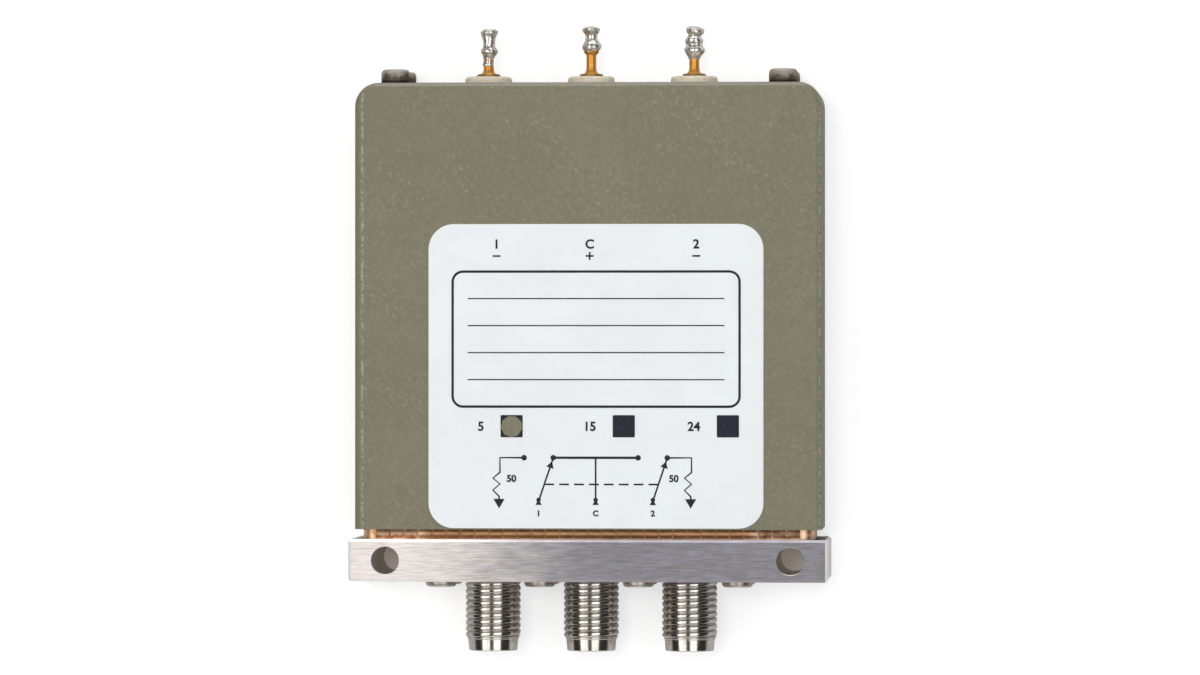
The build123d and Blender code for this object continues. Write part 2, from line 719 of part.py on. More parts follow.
with BuildPart() as yoke_screws:
    yoke_screw_length = BRIDGE_THICKNESS + YOKE_SCREW_BITE - SIDE_GAP
    with GridLocations(2 * YOKE_SCREW_X, 0, 2, 1):
        add(screw(bridge_top, SMALL_HEAD_R, SMALL_HEAD_HEIGHT, SMALL_SCREW_R, yoke_screw_length))
yoke_screws.part.label = "yoke_screws"
export_step(yoke_screws.part, "parts/yoke_screws.step")

# ---------------------------------------------------------------- frame, board and leads

with BuildPart() as actuator_frame:
    with BuildSketch(middle):
        for sign in SIDES.values():
            with Locations((sign * post_x, (lid_top + cover_ceiling) / 2)):
                Rectangle(POST_WIDTH, cover_ceiling - lid_top)
            with Locations((sign * (post_outer + foot_inner) / 2, lid_top + FOOT_THICKNESS / 2)):
                Rectangle(post_outer - foot_inner, FOOT_THICKNESS)
    extrude(amount=spigot_half_z - SIDE_GAP, both=True)
    post_corners = actuator_frame.edges().filter_by(Axis.Z).group_by(Axis.Y)[-1].sort_by(Axis.X)
    fillet([post_corners[0], post_corners[-1]], radius=COVER_CORNER - COVER_WALL)
    with BuildSketch(middle):
        with Locations((0, bridge_top - BRIDGE_THICKNESS / 2)):
            Rectangle(2 * post_x, BRIDGE_THICKNESS)
    extrude(amount=bridge_half_z, both=True)
    with BuildSketch(level(bridge_top)):
        with GridLocations(2 * board_screw_x, 2 * board_screw_z, 2, 2):
            Circle(BOSS_R)
    extrude(amount=BOSS_HEIGHT)
    with BuildSketch(level(bridge_top)):
        with GridLocations(2 * YOKE_SCREW_X, 0, 2, 1):
            Circle(SMALL_SCREW_R + THREAD_GAP)
        with GridLocations(2 * CORE_X, 0, 2, 1):
            Circle(CORE_RIVET_R + COIL_CLEARANCE)
    extrude(amount=-BRIDGE_THICKNESS, mode=Mode.SUBTRACT)
    with BuildSketch(level(board_bottom)):
        with GridLocations(2 * board_screw_x, 2 * board_screw_z, 2, 2):
            Circle(SMALL_SCREW_R + THREAD_GAP)
    extrude(amount=-BOSS_HEIGHT, mode=Mode.SUBTRACT)
    with BuildSketch(level(lid_top)):
        with GridLocations(3 * PORT_SPACING, 2 * screw_row, 2, 2):
            Circle(SCREW_R + THREAD_GAP)
    extrude(amount=FOOT_THICKNESS, mode=Mode.SUBTRACT)
    with BuildSketch(level(cover_ceiling)):
        with GridLocations(2 * post_x, 2 * screw_row, 2, 2):
            Circle(SCREW_R + THREAD_GAP)
    extrude(amount=-COVER_SCREW_LENGTH, mode=Mode.SUBTRACT)
actuator_frame.part.label = "actuator_frame"
export_step(actuator_frame.part, "parts/actuator_frame.step")

lead_hole_z = lead_z - LEAD_INWARD
diode_x = TERMINAL_SPACING / 2

with BuildPart() as terminal_board:
    with BuildSketch(level(board_bottom)):
        RectangleRounded(2 * board_half_x, 2 * board_half_z, SMALL_HEAD_R)
        with GridLocations(TERMINAL_SPACING, 0, 3, 1):
            Circle(TURRET_R + THREAD_GAP, mode=Mode.SUBTRACT)
        with GridLocations(2 * board_screw_x, 2 * board_screw_z, 2, 2):
            Circle(SMALL_SCREW_R + THREAD_GAP, mode=Mode.SUBTRACT)
        for sign in SIDES.values():
            # A level plane's second direction points to the back.
            with Locations((sign * CORE_X, -lead_hole_z)):
                with GridLocations(2 * LEAD_SPREAD, 0, 2, 1):
                    Circle(LEAD_R + THREAD_GAP, mode=Mode.SUBTRACT)
            with Locations((sign * diode_x, 0)):
                with GridLocations(2 * DIODE_SPAN, 0, 2, 1):
                    Circle(LEAD_R + THREAD_GAP, mode=Mode.SUBTRACT)
    extrude(amount=BOARD_THICKNESS)
terminal_board.part.label = "terminal_board"
export_step(terminal_board.part, "parts/terminal_board.step")

with BuildPart() as board_screws:
    board_screw_length = BOARD_THICKNESS + BOSS_HEIGHT - SIDE_GAP
    with GridLocations(2 * board_screw_x, 0, 2, 1):
        with Locations((0, 0, board_screw_z), (0, 0, -board_screw_z)):
            add(screw(board_top, SMALL_HEAD_R, SMALL_HEAD_HEIGHT, SMALL_SCREW_R, board_screw_length))
board_screws.part.label = "board_screws"
export_step(board_screws.part, "parts/board_screws.step")

with BuildPart() as suppression_diodes:
    diode_y = board_top + DIODE_R + SIDE_GAP
    for sign in SIDES.values():
        diode_middle = sign * diode_x
        with BuildSketch(Plane.YZ.offset(diode_middle - DIODE_LENGTH / 2)):
            with Locations((diode_y, mid_depth)):
                Circle(DIODE_R)
        extrude(amount=DIODE_LENGTH)
        with BuildLine() as wire_path:
            FilletPolyline(
                (diode_middle - DIODE_SPAN, board_bottom, mid_depth),
                (diode_middle - DIODE_SPAN, diode_y, mid_depth),
                (diode_middle + DIODE_SPAN, diode_y, mid_depth),
                (diode_middle + DIODE_SPAN, board_bottom, mid_depth),
                radius=2 * LEAD_R,
            )
        with BuildSketch(Plane(origin=wire_path.line @ 0, z_dir=wire_path.line % 0)):
            Circle(LEAD_R)
        sweep(path=wire_path.line)
suppression_diodes.part.label = "suppression_diodes"
export_step(suppression_diodes.part, "parts/suppression_diodes.step")

with BuildPart() as coil_leads:
    lead_from = bobbin_top - BOBBIN_FLANGE - LEAD_START
    lead_out = mid_depth + lead_z
    lead_in = mid_depth + lead_hole_z
    for sign in SIDES.values():
        for spread in (-LEAD_SPREAD, LEAD_SPREAD):
            lead_x = sign * CORE_X + spread
            with BuildLine() as lead_path:
                FilletPolyline(
                    (lead_x, lead_from, lead_out),
                    (lead_x, bridge_top, lead_out),
                    (lead_x, bridge_top + LEAD_INWARD, lead_in),
                    (lead_x, board_top + LEAD_R, lead_in),
                    radius=LEAD_BEND_R,
                )
            with BuildSketch(Plane(origin=lead_path.line @ 0, z_dir=lead_path.line % 0)):
                Circle(LEAD_R)
            sweep(path=lead_path.line)
coil_leads.part.label = "coil_leads"
export_step(coil_leads.part, "parts/coil_leads.step")

for terminal, terminal_x in TERMINALS.items():
    with BuildPart() as terminal_bushing:
        with BuildSketch(level(board_top)):
            with Locations((terminal_x, 0)):
                Circle(BUSHING_R)
        extrude(amount=cover_top + BUSHING_RISE - board_top)
        shoulder = terminal_bushing.edges().filter_by(GeomType.CIRCLE).group_by(Axis.Y)[-1]
        fillet(shoulder, radius=BUSHING_SHOULDER)
        with BuildSketch(level(board_top)):
            with Locations((terminal_x, 0)):
                Circle(TURRET_R + THREAD_GAP)
        extrude(amount=cover_top + BUSHING_RISE - board_top, mode=Mode.SUBTRACT)
    terminal_bushing.part.label = f"terminal_bushing_{terminal}"
    export_step(terminal_bushing.part, f"parts/terminal_bushing_{terminal}.step")

    turret_base = cover_top + BUSHING_RISE
    turret_tip = cover_top + TERMINAL_RISE
    turret_outline = [
        (0, board_bottom - TERMINAL_TAIL),
        (TURRET_R, board_bottom - TERMINAL_TAIL),
        (TURRET_R, turret_base),
        (TURRET_RING_R, turret_base),
        (TURRET_RING_R, turret_base + TURRET_RING_HEIGHT / 2),
        (TURRET_R, turret_base + TURRET_RING_HEIGHT),
        (TURRET_R, turret_base + TURRET_LOWER_FROM - TURRET_RING_HEIGHT),
        (TURRET_LOWER_R, turret_base + TURRET_LOWER_FROM),
        (TURRET_LOWER_R, turret_base + TURRET_LOWER_TO),
        (TURRET_WAIST_R, turret_base + TURRET_LOWER_TO + TURRET_RING_HEIGHT),
        (TURRET_WAIST_R, turret_tip - TURRET_TOP_THICKNESS - TURRET_RING_HEIGHT),
        (TURRET_TOP_R, turret_tip - TURRET_TOP_THICKNESS),
        (TURRET_TOP_R, turret_tip - TURRET_RING_HEIGHT / 2),
        (TURRET_WAIST_R, turret_tip),
        (0, turret_tip),
    ]
    with BuildPart() as terminal_post:
        add(turned(terminal_x, turret_outline))
    terminal_post.part.label = f"terminal_post_{terminal}"
    export_step(terminal_post.part, f"parts/terminal_post_{terminal}.step")

# ---------------------------------------------------------------- cover, strip and label

with BuildPart() as cover_room:
    with BuildSketch(middle):
        with Locations((0, rim_y)):
            Rectangle(2 * room_half_x, COVER_HEIGHT - COVER_WALL, align=(Align.CENTER, Align.MIN))
    extrude(amount=room_half_z, both=True)
    room_corners = cover_room.edges().filter_by(Axis.Z).group_by(Axis.Y)[-1]
    fillet(room_corners, radius=COVER_CORNER - COVER_WALL)

with BuildPart() as housing_cover:
    with BuildSketch(middle):
        with Locations((0, rim_y)):
            Rectangle(2 * cover_half_x, COVER_HEIGHT, align=(Align.CENTER, Align.MIN))
    extrude(amount=cover_half_z, both=True)
    fillet(housing_cover.edges().filter_by(Axis.Z).group_by(Axis.Y)[-1], radius=COVER_CORNER)
    outer_faces = housing_cover.faces().filter_by(Axis.Z)
    rounded = outer_faces.edges().filter_by(lambda edge: edge.center().Y > rim_y + COVER_EDGE)
    fillet(rounded, radius=COVER_EDGE)
    add(cover_room.part, mode=Mode.SUBTRACT)
    with BuildSketch(level(cover_ceiling)):
        with GridLocations(TERMINAL_SPACING, 0, 3, 1):
            Circle(BUSHING_R + BUSHING_HOLE_GAP)
        with GridLocations(2 * post_x, 2 * screw_row, 2, 2):
            Circle(SCREW_R + SCREW_HOLE_GAP)
    extrude(amount=COVER_WALL, mode=Mode.SUBTRACT)
housing_cover.part.label = "housing_cover"
export_step(housing_cover.part, "parts/housing_cover.step")

with BuildPart() as cover_screws:
    with BuildSketch(level(cover_top)):
        with GridLocations(2 * post_x, 2 * screw_row, 2, 2):
            Circle(COVER_SCREW_R)
    extrude(amount=COVER_SCREW_HEIGHT)
    crowns = cover_screws.edges().filter_by(GeomType.CIRCLE).group_by(Axis.Y)[-1]
    fillet(crowns, radius=COVER_SCREW_HEIGHT * 0.3)
    with BuildSketch(level(cover_top)):
        with GridLocations(2 * post_x, 2 * screw_row, 2, 2):
            Circle(SCREW_R)
    extrude(amount=TOUCH_GAP - COVER_SCREW_LENGTH)
    with BuildSketch(level(cover_top + COVER_SCREW_HEIGHT)):
        with GridLocations(2 * post_x, 2 * screw_row, 2, 2):
            Rectangle(2 * RECESS_ARM, RECESS_WIDTH)
            Rectangle(RECESS_WIDTH, 2 * RECESS_ARM)
    extrude(amount=-RECESS_DEPTH, taper=RECESS_TAPER, mode=Mode.SUBTRACT)
cover_screws.part.label = "cover_screws"
export_step(cover_screws.part, "parts/cover_screws.step")

strip_sides = [
    # Outward direction, place of the fingers' crest, and half the length of the row.
    (Vector(0, 0, 1), strip_half_z, strip_half_x - STRIP_CORNER),
    (Vector(0, 0, -1), strip_half_z, strip_half_x - STRIP_CORNER),
    (Vector(1, 0, 0), strip_half_x, strip_half_z - STRIP_CORNER),
    (Vector(-1, 0, 0), strip_half_x, strip_half_z - STRIP_CORNER),
]
with BuildPart() as finger_strip:
    # The base lies on the head round the spigot. The fingers bow out of it, up to the cover's rim.
    with BuildSketch(level(head_top)):
        RectangleRounded(2 * (strip_half_x - STRIP_BOW), 2 * (strip_half_z - STRIP_BOW), STRIP_CORNER)
        Rectangle(
            2 * (spigot_half_x + RUNNING_GAP),
            2 * (spigot_half_z + RUNNING_GAP),
            mode=Mode.SUBTRACT,
        )
    extrude(amount=STRIP_BASE)
    for outwards, crest, half_row in strip_sides:
        foot = Vector(0, head_top, mid_depth) + outwards * (crest - STRIP_BOW)
        with BuildSketch(Plane(origin=foot, x_dir=outwards, z_dir=outwards.cross(Vector(0, 1, 0)))):
            with BuildLine():
                ThreePointArc((0, 0), (STRIP_BOW, RIM_GAP / 2), (0, RIM_GAP))
                ThreePointArc((-STRIP_WALL, 0), (STRIP_BOW - STRIP_WALL, RIM_GAP / 2), (-STRIP_WALL, RIM_GAP))
                Line((0, 0), (-STRIP_WALL, 0))
                Line((0, RIM_GAP), (-STRIP_WALL, RIM_GAP))
            make_face()
        extrude(amount=half_row, both=True)
    with BuildSketch(level(head_top + STRIP_BASE)):
        with GridLocations(FINGER_PITCH, 0, int(2 * strip_half_x / FINGER_PITCH), 1):
            Rectangle(FINGER_SLOT, 3 * strip_half_z)
        with GridLocations(0, FINGER_PITCH, 1, int(2 * strip_half_z / FINGER_PITCH)):
            Rectangle(3 * strip_half_x, FINGER_SLOT)
    extrude(amount=RIM_GAP, mode=Mode.SUBTRACT)
finger_strip.part.label = "finger_strip"
export_step(finger_strip.part, "parts/finger_strip.step")

with BuildPart() as face_label:
    with BuildSketch(Plane.XY.offset(cover_front)):
        with Locations((LABEL_SHIFT, rim_y + LABEL_MARGIN + LABEL_HEIGHT / 2)):
            RectangleRounded(LABEL_WIDTH, LABEL_HEIGHT, LABEL_CORNER)
    extrude(amount=LABEL_THICKNESS)
face_label.part.label = "face_label"
export_step(face_label.part, "parts/face_label.step")
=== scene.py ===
"""Looks of a latching two-way coaxial switch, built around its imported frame."""

import json
import logging
import math
from collections.abc import Callable, Iterator, Sequence
from contextlib import contextmanager
from dataclasses import dataclass, field
from enum import Enum
from functools import cache

import bmesh
import bpy
from mathutils import Matrix, Vector


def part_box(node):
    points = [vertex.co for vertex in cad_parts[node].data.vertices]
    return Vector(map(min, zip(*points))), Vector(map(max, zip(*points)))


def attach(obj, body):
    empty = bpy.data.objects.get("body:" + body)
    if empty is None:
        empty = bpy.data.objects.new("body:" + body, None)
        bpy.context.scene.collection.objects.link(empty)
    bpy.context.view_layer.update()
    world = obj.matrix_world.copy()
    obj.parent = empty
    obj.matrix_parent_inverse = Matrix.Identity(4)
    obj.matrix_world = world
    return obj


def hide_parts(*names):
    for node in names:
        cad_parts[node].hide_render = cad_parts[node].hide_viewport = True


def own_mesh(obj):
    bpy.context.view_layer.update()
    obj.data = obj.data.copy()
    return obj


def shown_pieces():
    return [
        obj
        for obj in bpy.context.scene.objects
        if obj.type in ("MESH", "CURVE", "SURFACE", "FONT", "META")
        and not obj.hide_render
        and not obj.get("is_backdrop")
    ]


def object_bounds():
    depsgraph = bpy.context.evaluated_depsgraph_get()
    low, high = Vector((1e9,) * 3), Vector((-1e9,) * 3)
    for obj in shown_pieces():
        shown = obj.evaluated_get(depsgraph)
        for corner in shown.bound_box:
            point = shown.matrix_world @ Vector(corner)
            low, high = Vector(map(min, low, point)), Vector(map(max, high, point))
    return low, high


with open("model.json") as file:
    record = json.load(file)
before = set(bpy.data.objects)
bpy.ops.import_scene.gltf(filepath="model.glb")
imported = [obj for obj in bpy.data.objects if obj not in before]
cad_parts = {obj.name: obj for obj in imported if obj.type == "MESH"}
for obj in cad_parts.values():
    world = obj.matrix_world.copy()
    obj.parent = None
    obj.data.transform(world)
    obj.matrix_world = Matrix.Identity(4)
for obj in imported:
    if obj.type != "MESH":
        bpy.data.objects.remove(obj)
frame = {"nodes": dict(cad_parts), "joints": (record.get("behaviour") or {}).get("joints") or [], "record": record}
CAD_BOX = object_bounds()

LOG = logging.getLogger("coaxial_switch")
MM = 0.001
BODY = "switch_body"
SMOOTH_ANGLE = math.radians(35)
# Sockets of a Mix node that mixes colours: its three inputs and its result.
MIX_SHARE, MIX_A, MIX_B, MIX_COLOUR = 0, 6, 7, 2
HOLES = next(mount["dims"] for mount in frame["record"]["mounts"] if mount["name"] == "mounting_holes")

Colour = tuple[float, float, float]
Piece = bpy.types.Object
Material = bpy.types.Material
Socket = bpy.types.NodeSocket


# ------------------------------------------------------------------ shader maths


class Signal:
    """A number that varies over a surface, worked with Python operators."""

    def __init__(self, shader: "Shader", socket: Socket) -> None:
        """Keep the socket that gives the number and the shader that holds it."""
        self.shader = shader
        self.socket = socket

    def math(self, operation: str, *numbers: "Number") -> "Signal":
        """Add a Math node to the shader.

        Args:
            operation: Name of the operation, as the node has it.
            *numbers: Its inputs in order, plain numbers or signals.

        Returns:
            The node's result.
        """
        node = self.shader.node("ShaderNodeMath", {"operation": operation}, dict(enumerate(numbers)))
        return Signal(self.shader, node.outputs[0])

    def __add__(self, other: "Number") -> "Signal":
        """Add a number or a signal."""
        return self.math("ADD", self, other)

    def __radd__(self, other: "Number") -> "Signal":
        """Add this signal to a number."""
        return self.math("ADD", other, self)

    def __sub__(self, other: "Number") -> "Signal":
        """Take a number or a signal away."""
        return self.math("SUBTRACT", self, other)

    def __rsub__(self, other: "Number") -> "Signal":
        """Take this signal away from a number."""
        return self.math("SUBTRACT", other, self)

    def __mul__(self, other: "Number") -> "Signal":
        """Multiply by a number or a signal."""
        return self.math("MULTIPLY", self, other)

    def __abs__(self) -> "Signal":
        """Drop the sign."""
        return self.math("ABSOLUTE", self)

    def rise(self, low: float, high: float) -> "Signal":
        """Climb smoothly from 0 where the signal is low to 1 where it is high.

        Args:
            low: Where the climb starts.
            high: Where it ends, below low for a fall.

        Returns:
            A signal from 0 to 1.
        """
        start, end, first, last = (low, high, 0.0, 1.0) if low < high else (high, low, 1.0, 0.0)
        node = self.shader.node(
            "ShaderNodeMapRange",
            {"interpolation_type": "SMOOTHSTEP"},
            {"Value": self, "From Min": start, "From Max": end, "To Min": first, "To Max": last},
        )
        return Signal(self.shader, node.outputs[0])

    def folded(self, spacing: float, offset: float) -> "Signal":
        """Distance to the nearest of evenly spaced centres.

        Args:
            spacing: From one centre to the next.
            offset: Place of a centre, as a share of the spacing.

        Returns:
            The distance, below zero on one side of a centre.
        """
        steps = self * (1 / spacing) - offset
        return (steps - self.math("ROUND", steps)) * spacing


Number = float | Signal


class Shader:
    """Node tree of one material. Its patterns are laid out in millimetres."""

    def __init__(self, name: str) -> None:
        """Start a material whose surface is a Principled shader."""
        self.material = bpy.data.materials.new(name)
        self.material.use_nodes = True
        self.tree = self.material.node_tree
        self.surface = self.tree.nodes["Principled BSDF"]
        here = self.node("ShaderNodeTexCoord").outputs["Object"]
        scale = (1 / MM, 1 / MM, 1 / MM)
        self.where = self.node("ShaderNodeMapping", {}, {"Vector": here, "Scale": scale}).outputs[0]
        apart = self.node("ShaderNodeSeparateXYZ", {}, {"Vector": self.where})
        self.x, self.y, self.z = (Signal(self, socket) for socket in apart.outputs)

    def node(
        self, kind: str, settings: dict[str, object] | None = None, inputs: dict | None = None
    ) -> bpy.types.Node:
        """Add a node.

        Args:
            kind: Type of the node.
            settings: Its properties by name, set before its sockets.
            inputs: A value, socket or signal for each input, by name or number.

        Returns:
            The new node.
        """
        node = self.tree.nodes.new(kind)
        for setting, value in (settings or {}).items():
            setattr(node, setting, value)
        for socket, value in (inputs or {}).items():
            self.plug(node.inputs[socket], value)
        return node

    def plug(self, socket: Socket, value: object) -> None:
        """Link a signal or a socket to an input, or set a plain value on it.

        Args:
            socket: The input.
            value: What goes in. A colour of three numbers gets its fourth here.
        """
        source = value.socket if isinstance(value, Signal) else value
        if isinstance(source, Socket):
            self.tree.links.new(source, socket)
        elif isinstance(source, tuple) and len(socket.default_value) == len(source) + 1:
            socket.default_value = (*source, 1.0)
        else:
            socket.default_value = source

    def noise(
        self, size: float | Sequence[float], detail: float = 2.0, vector: Socket | None = None
    ) -> Signal:
        """Cloudy pattern from 0 to 1.

        Args:
            size: Length of a feature in millimetres, the same all ways or one for each axis.
            detail: How many finer layers it has.
            vector: Where the pattern is read, at the point itself if left out.

        Returns:
            The pattern.
        """
        lengths = (size,) * 3 if isinstance(size, float) else size
        scale = tuple(1 / length for length in lengths)
        spread = self.node("ShaderNodeMapping", {}, {"Vector": vector or self.where, "Scale": scale})
        inputs = {"Vector": spread.outputs[0], "Scale": 1.0, "Detail": detail}
        return Signal(self, self.node("ShaderNodeTexNoise", {}, inputs).outputs[0])

    def cells(self, size: float) -> Signal:
        """Distance to the nearest of scattered points, in shares of their spacing."""
        inputs = {"Vector": self.where, "Scale": 1 / size}
        return Signal(self, self.node("ShaderNodeTexVoronoi", {}, inputs).outputs["Distance"])

    def blend(self, share: Number, first: Colour | Socket, second: Colour | Socket) -> Socket:
        """Mix two colours.

        Args:
            share: How much of the second, from 0 to 1.
            first: Colour where the share is 0.
            second: Colour where the share is 1.

        Returns:
            Socket of the mixed colour.
        """
        inputs = {MIX_SHARE: share, MIX_A: first, MIX_B: second}
        return self.node("ShaderNodeMix", {"data_type": "RGBA"}, inputs).outputs[MIX_COLOUR]

    def radius(self, spacing: float, offset: float, rows: float) -> Signal:
        """Distance from the nearest axis of a row of turned pieces.

        Args:
            spacing: From one axis to the next along X.
            offset: Place of an axis along X, as a share of the spacing.
            rows: From the back row to the front row, or 0 for a single row.

        Returns:
            The distance in millimetres.
        """
        across = self.x.folded(spacing, offset)
        deep = self.z - MIDDLE.z
        if rows:
            deep = abs(deep) - rows / 2
        return self.x.math("SQRT", across * across + deep * deep)

    def dress(self, relief: Signal | None = None, depth: float = 0.0, **inputs: object) -> Material:
        """Set the surface's own sockets.

        Args:
            relief: Height pattern of the surface from 0 to 1, if it has one.
            depth: Height of that pattern in millimetres.
            **inputs: Values for the surface's sockets, with _ for a space.

        Returns:
            The finished material.
        """
        for name, value in inputs.items():
            self.plug(self.surface.inputs[name.replace("_", " ")], value)
        if relief:
            height = {"Height": relief, "Strength": 1.0, "Distance": depth * MM}
            self.plug(self.surface.inputs["Normal"], self.node("ShaderNodeBump", {}, height).outputs[0])
        return self.material


# ------------------------------------------------------------------ finishes


class Grain(Enum):
    """Length of a tool mark along each axis in millimetres."""

    ALONG_X = (9.0, 0.07, 0.07)
    ALONG_Z = (0.07, 0.07, 9.0)
    EVEN = (0.25, 0.25, 0.25)
    CAST = (0.6, 0.6, 0.6)


@dataclass(frozen=True)
class Finish:
    """What a surface is made of, with the record's slot that it belongs to."""

    name: str
    slot: str

    def make(self) -> Material:
        """Make the material."""
        raise NotImplementedError


@dataclass(frozen=True)
class Metal(Finish):
    """Bare or plated metal with straight or even tool marks."""

    colour: Colour
    shade: Colour
    roughness: float = 0.3
    grain: Grain = Grain.EVEN
    depth: float = 0.004
    cloud: float = 5.0

    def make(self) -> Material:
        """Make the material.

        Returns:
            The material.
        """
        shader = Shader(self.name)
        marks = shader.noise(self.grain.value, 3.0)
        patch = shader.noise(self.cloud, 3.0)
        tone = shader.blend((patch * 0.7 + marks * 0.3).rise(0.36, 0.64), self.colour, self.shade)
        rough = self.roughness + (marks - 0.5) * 0.25 + (patch - 0.5) * 0.1
        return shader.dress(marks, self.depth, Base_Color=tone, Metallic=1.0, Roughness=rough)


@dataclass(frozen=True)
class TurnedMetal(Finish):
    """Metal turned in a lathe, with rings about each of a row of axes, and painted shade that can darken it by
    distance from the axis.
    """

    colour: Colour
    shade: Colour
    spacing: float
    offset: float = 0.0
    rows: float = 0.0
    roughness: float = 0.25
    uneven: float = 0.2
    depth: float = 0.003
    ring: float = 0.09
    metal: float = 1.0
    # Painted shade by distance from the axis: its colour, the radius where it is full, the radius where it has
    # faded out, and the height above which it is drawn.
    painted_shade: Colour = (0.10, 0.085, 0.065)
    painted_shade_from: float = 0.0
    painted_shade_to: float = 0.0
    painted_shade_above: float = -1000.0

    def make(self) -> Material:
        """Make the material.

        Returns:
            The material.
        """
        shader = Shader(self.name)
        radius = shader.radius(self.spacing, self.offset, self.rows)
        lathe = shader.node("ShaderNodeCombineXYZ", {}, {0: radius, 1: shader.y, 2: 0.0}).outputs[0]
        rings = shader.noise(self.ring, 2.0, lathe)
        patch = shader.noise(1.2, 3.0)
        tone = shader.blend((patch * 0.6 + rings * 0.4).rise(0.38, 0.62), self.colour, self.shade)
        rough = self.roughness + (rings * 0.6 + patch * 0.4 - 0.5) * self.uneven
        # Painted shade, darker on one side of a radius.
        if self.painted_shade_to:
            painted_shade = radius.rise(self.painted_shade_to, self.painted_shade_from) * (patch * 0.7 + 0.45)
            painted_shade = painted_shade * shader.y.rise(self.painted_shade_above, self.painted_shade_above + 0.1)
            tone = shader.blend(painted_shade, tone, self.painted_shade)
            rough = rough + painted_shade * 0.2
        return shader.dress(rings, self.depth, Base_Color=tone, Metallic=self.metal, Roughness=rough)


@dataclass(frozen=True)
class CapSteel(Finish):
    """Blackened screw steel, lighter towards its crown from a painted highlight and darker round its foot from a
    painted shadow.
    """

    colour: Colour
    # Colours of the painted highlight on the crown and of the painted shadow round the foot.
    crown_highlight: Colour
    painted_shade: Colour
    foot: float
    height: float
    # Where the painted highlight starts and is full, as shares of the height.
    highlight_from: float = 0.35
    highlight_to: float = 0.8
    # How far over the foot the painted shadow starts, and from where down it is full.
    painted_shade_from: float = 0.42
    painted_shade_to: float = 0.16

    def make(self) -> Material:
        """Make the material.

        Returns:
            The material.
        """
        shader = Shader(self.name)
        patch = shader.noise(0.7, 3.0)
        fine = shader.noise(0.12, 2.0)
        # Painted highlight: lighter towards the crown, where the light from above falls.
        up = shader.y + (patch - 0.5) * self.height * 0.9
        crown_lit = (up - self.foot).rise(self.highlight_from * self.height, self.highlight_to * self.height)
        # Painted shadow: darker round the foot, where the head meets the can.
        foot_shadow = (shader.y - self.foot).rise(self.painted_shade_from, self.painted_shade_to)
        tone = shader.blend(crown_lit, self.colour, self.crown_highlight)
        tone = shader.blend(foot_shadow, tone, self.painted_shade)
        rough = 0.50 + (fine - 0.5) * 0.2
        return shader.dress(fine, 0.004, Base_Color=tone, Metallic=0.45, Roughness=rough)


@dataclass(frozen=True)
class Moulded(Finish):
    """Resin, ceramic or insulation with a fine grain and a slight mottle."""

    colour: Colour
    shade: Colour
    roughness: float = 0.5
    size: float = 0.3
    depth: float = 0.006
    speck: float = 0.0

    def make(self) -> Material:
        """Make the material.

        Returns:
            The material.
        """
        shader = Shader(self.name)
        fine = shader.noise(self.size, 3.0)
        wide = shader.noise(self.size * 9, 2.0)
        tone = shader.blend((wide * 0.7 + fine * 0.3).rise(0.35, 0.65), self.colour, self.shade)
        if self.speck:
            spots = shader.cells(self.speck).rise(0.24, 0.1)
            dark = tuple(0.45 * channel for channel in self.shade)
            tone = shader.blend(spots * 0.6, tone, dark)
        rough = self.roughness + (fine - 0.5) * 0.2
        return shader.dress(fine, self.depth, Base_Color=tone, Roughness=rough)


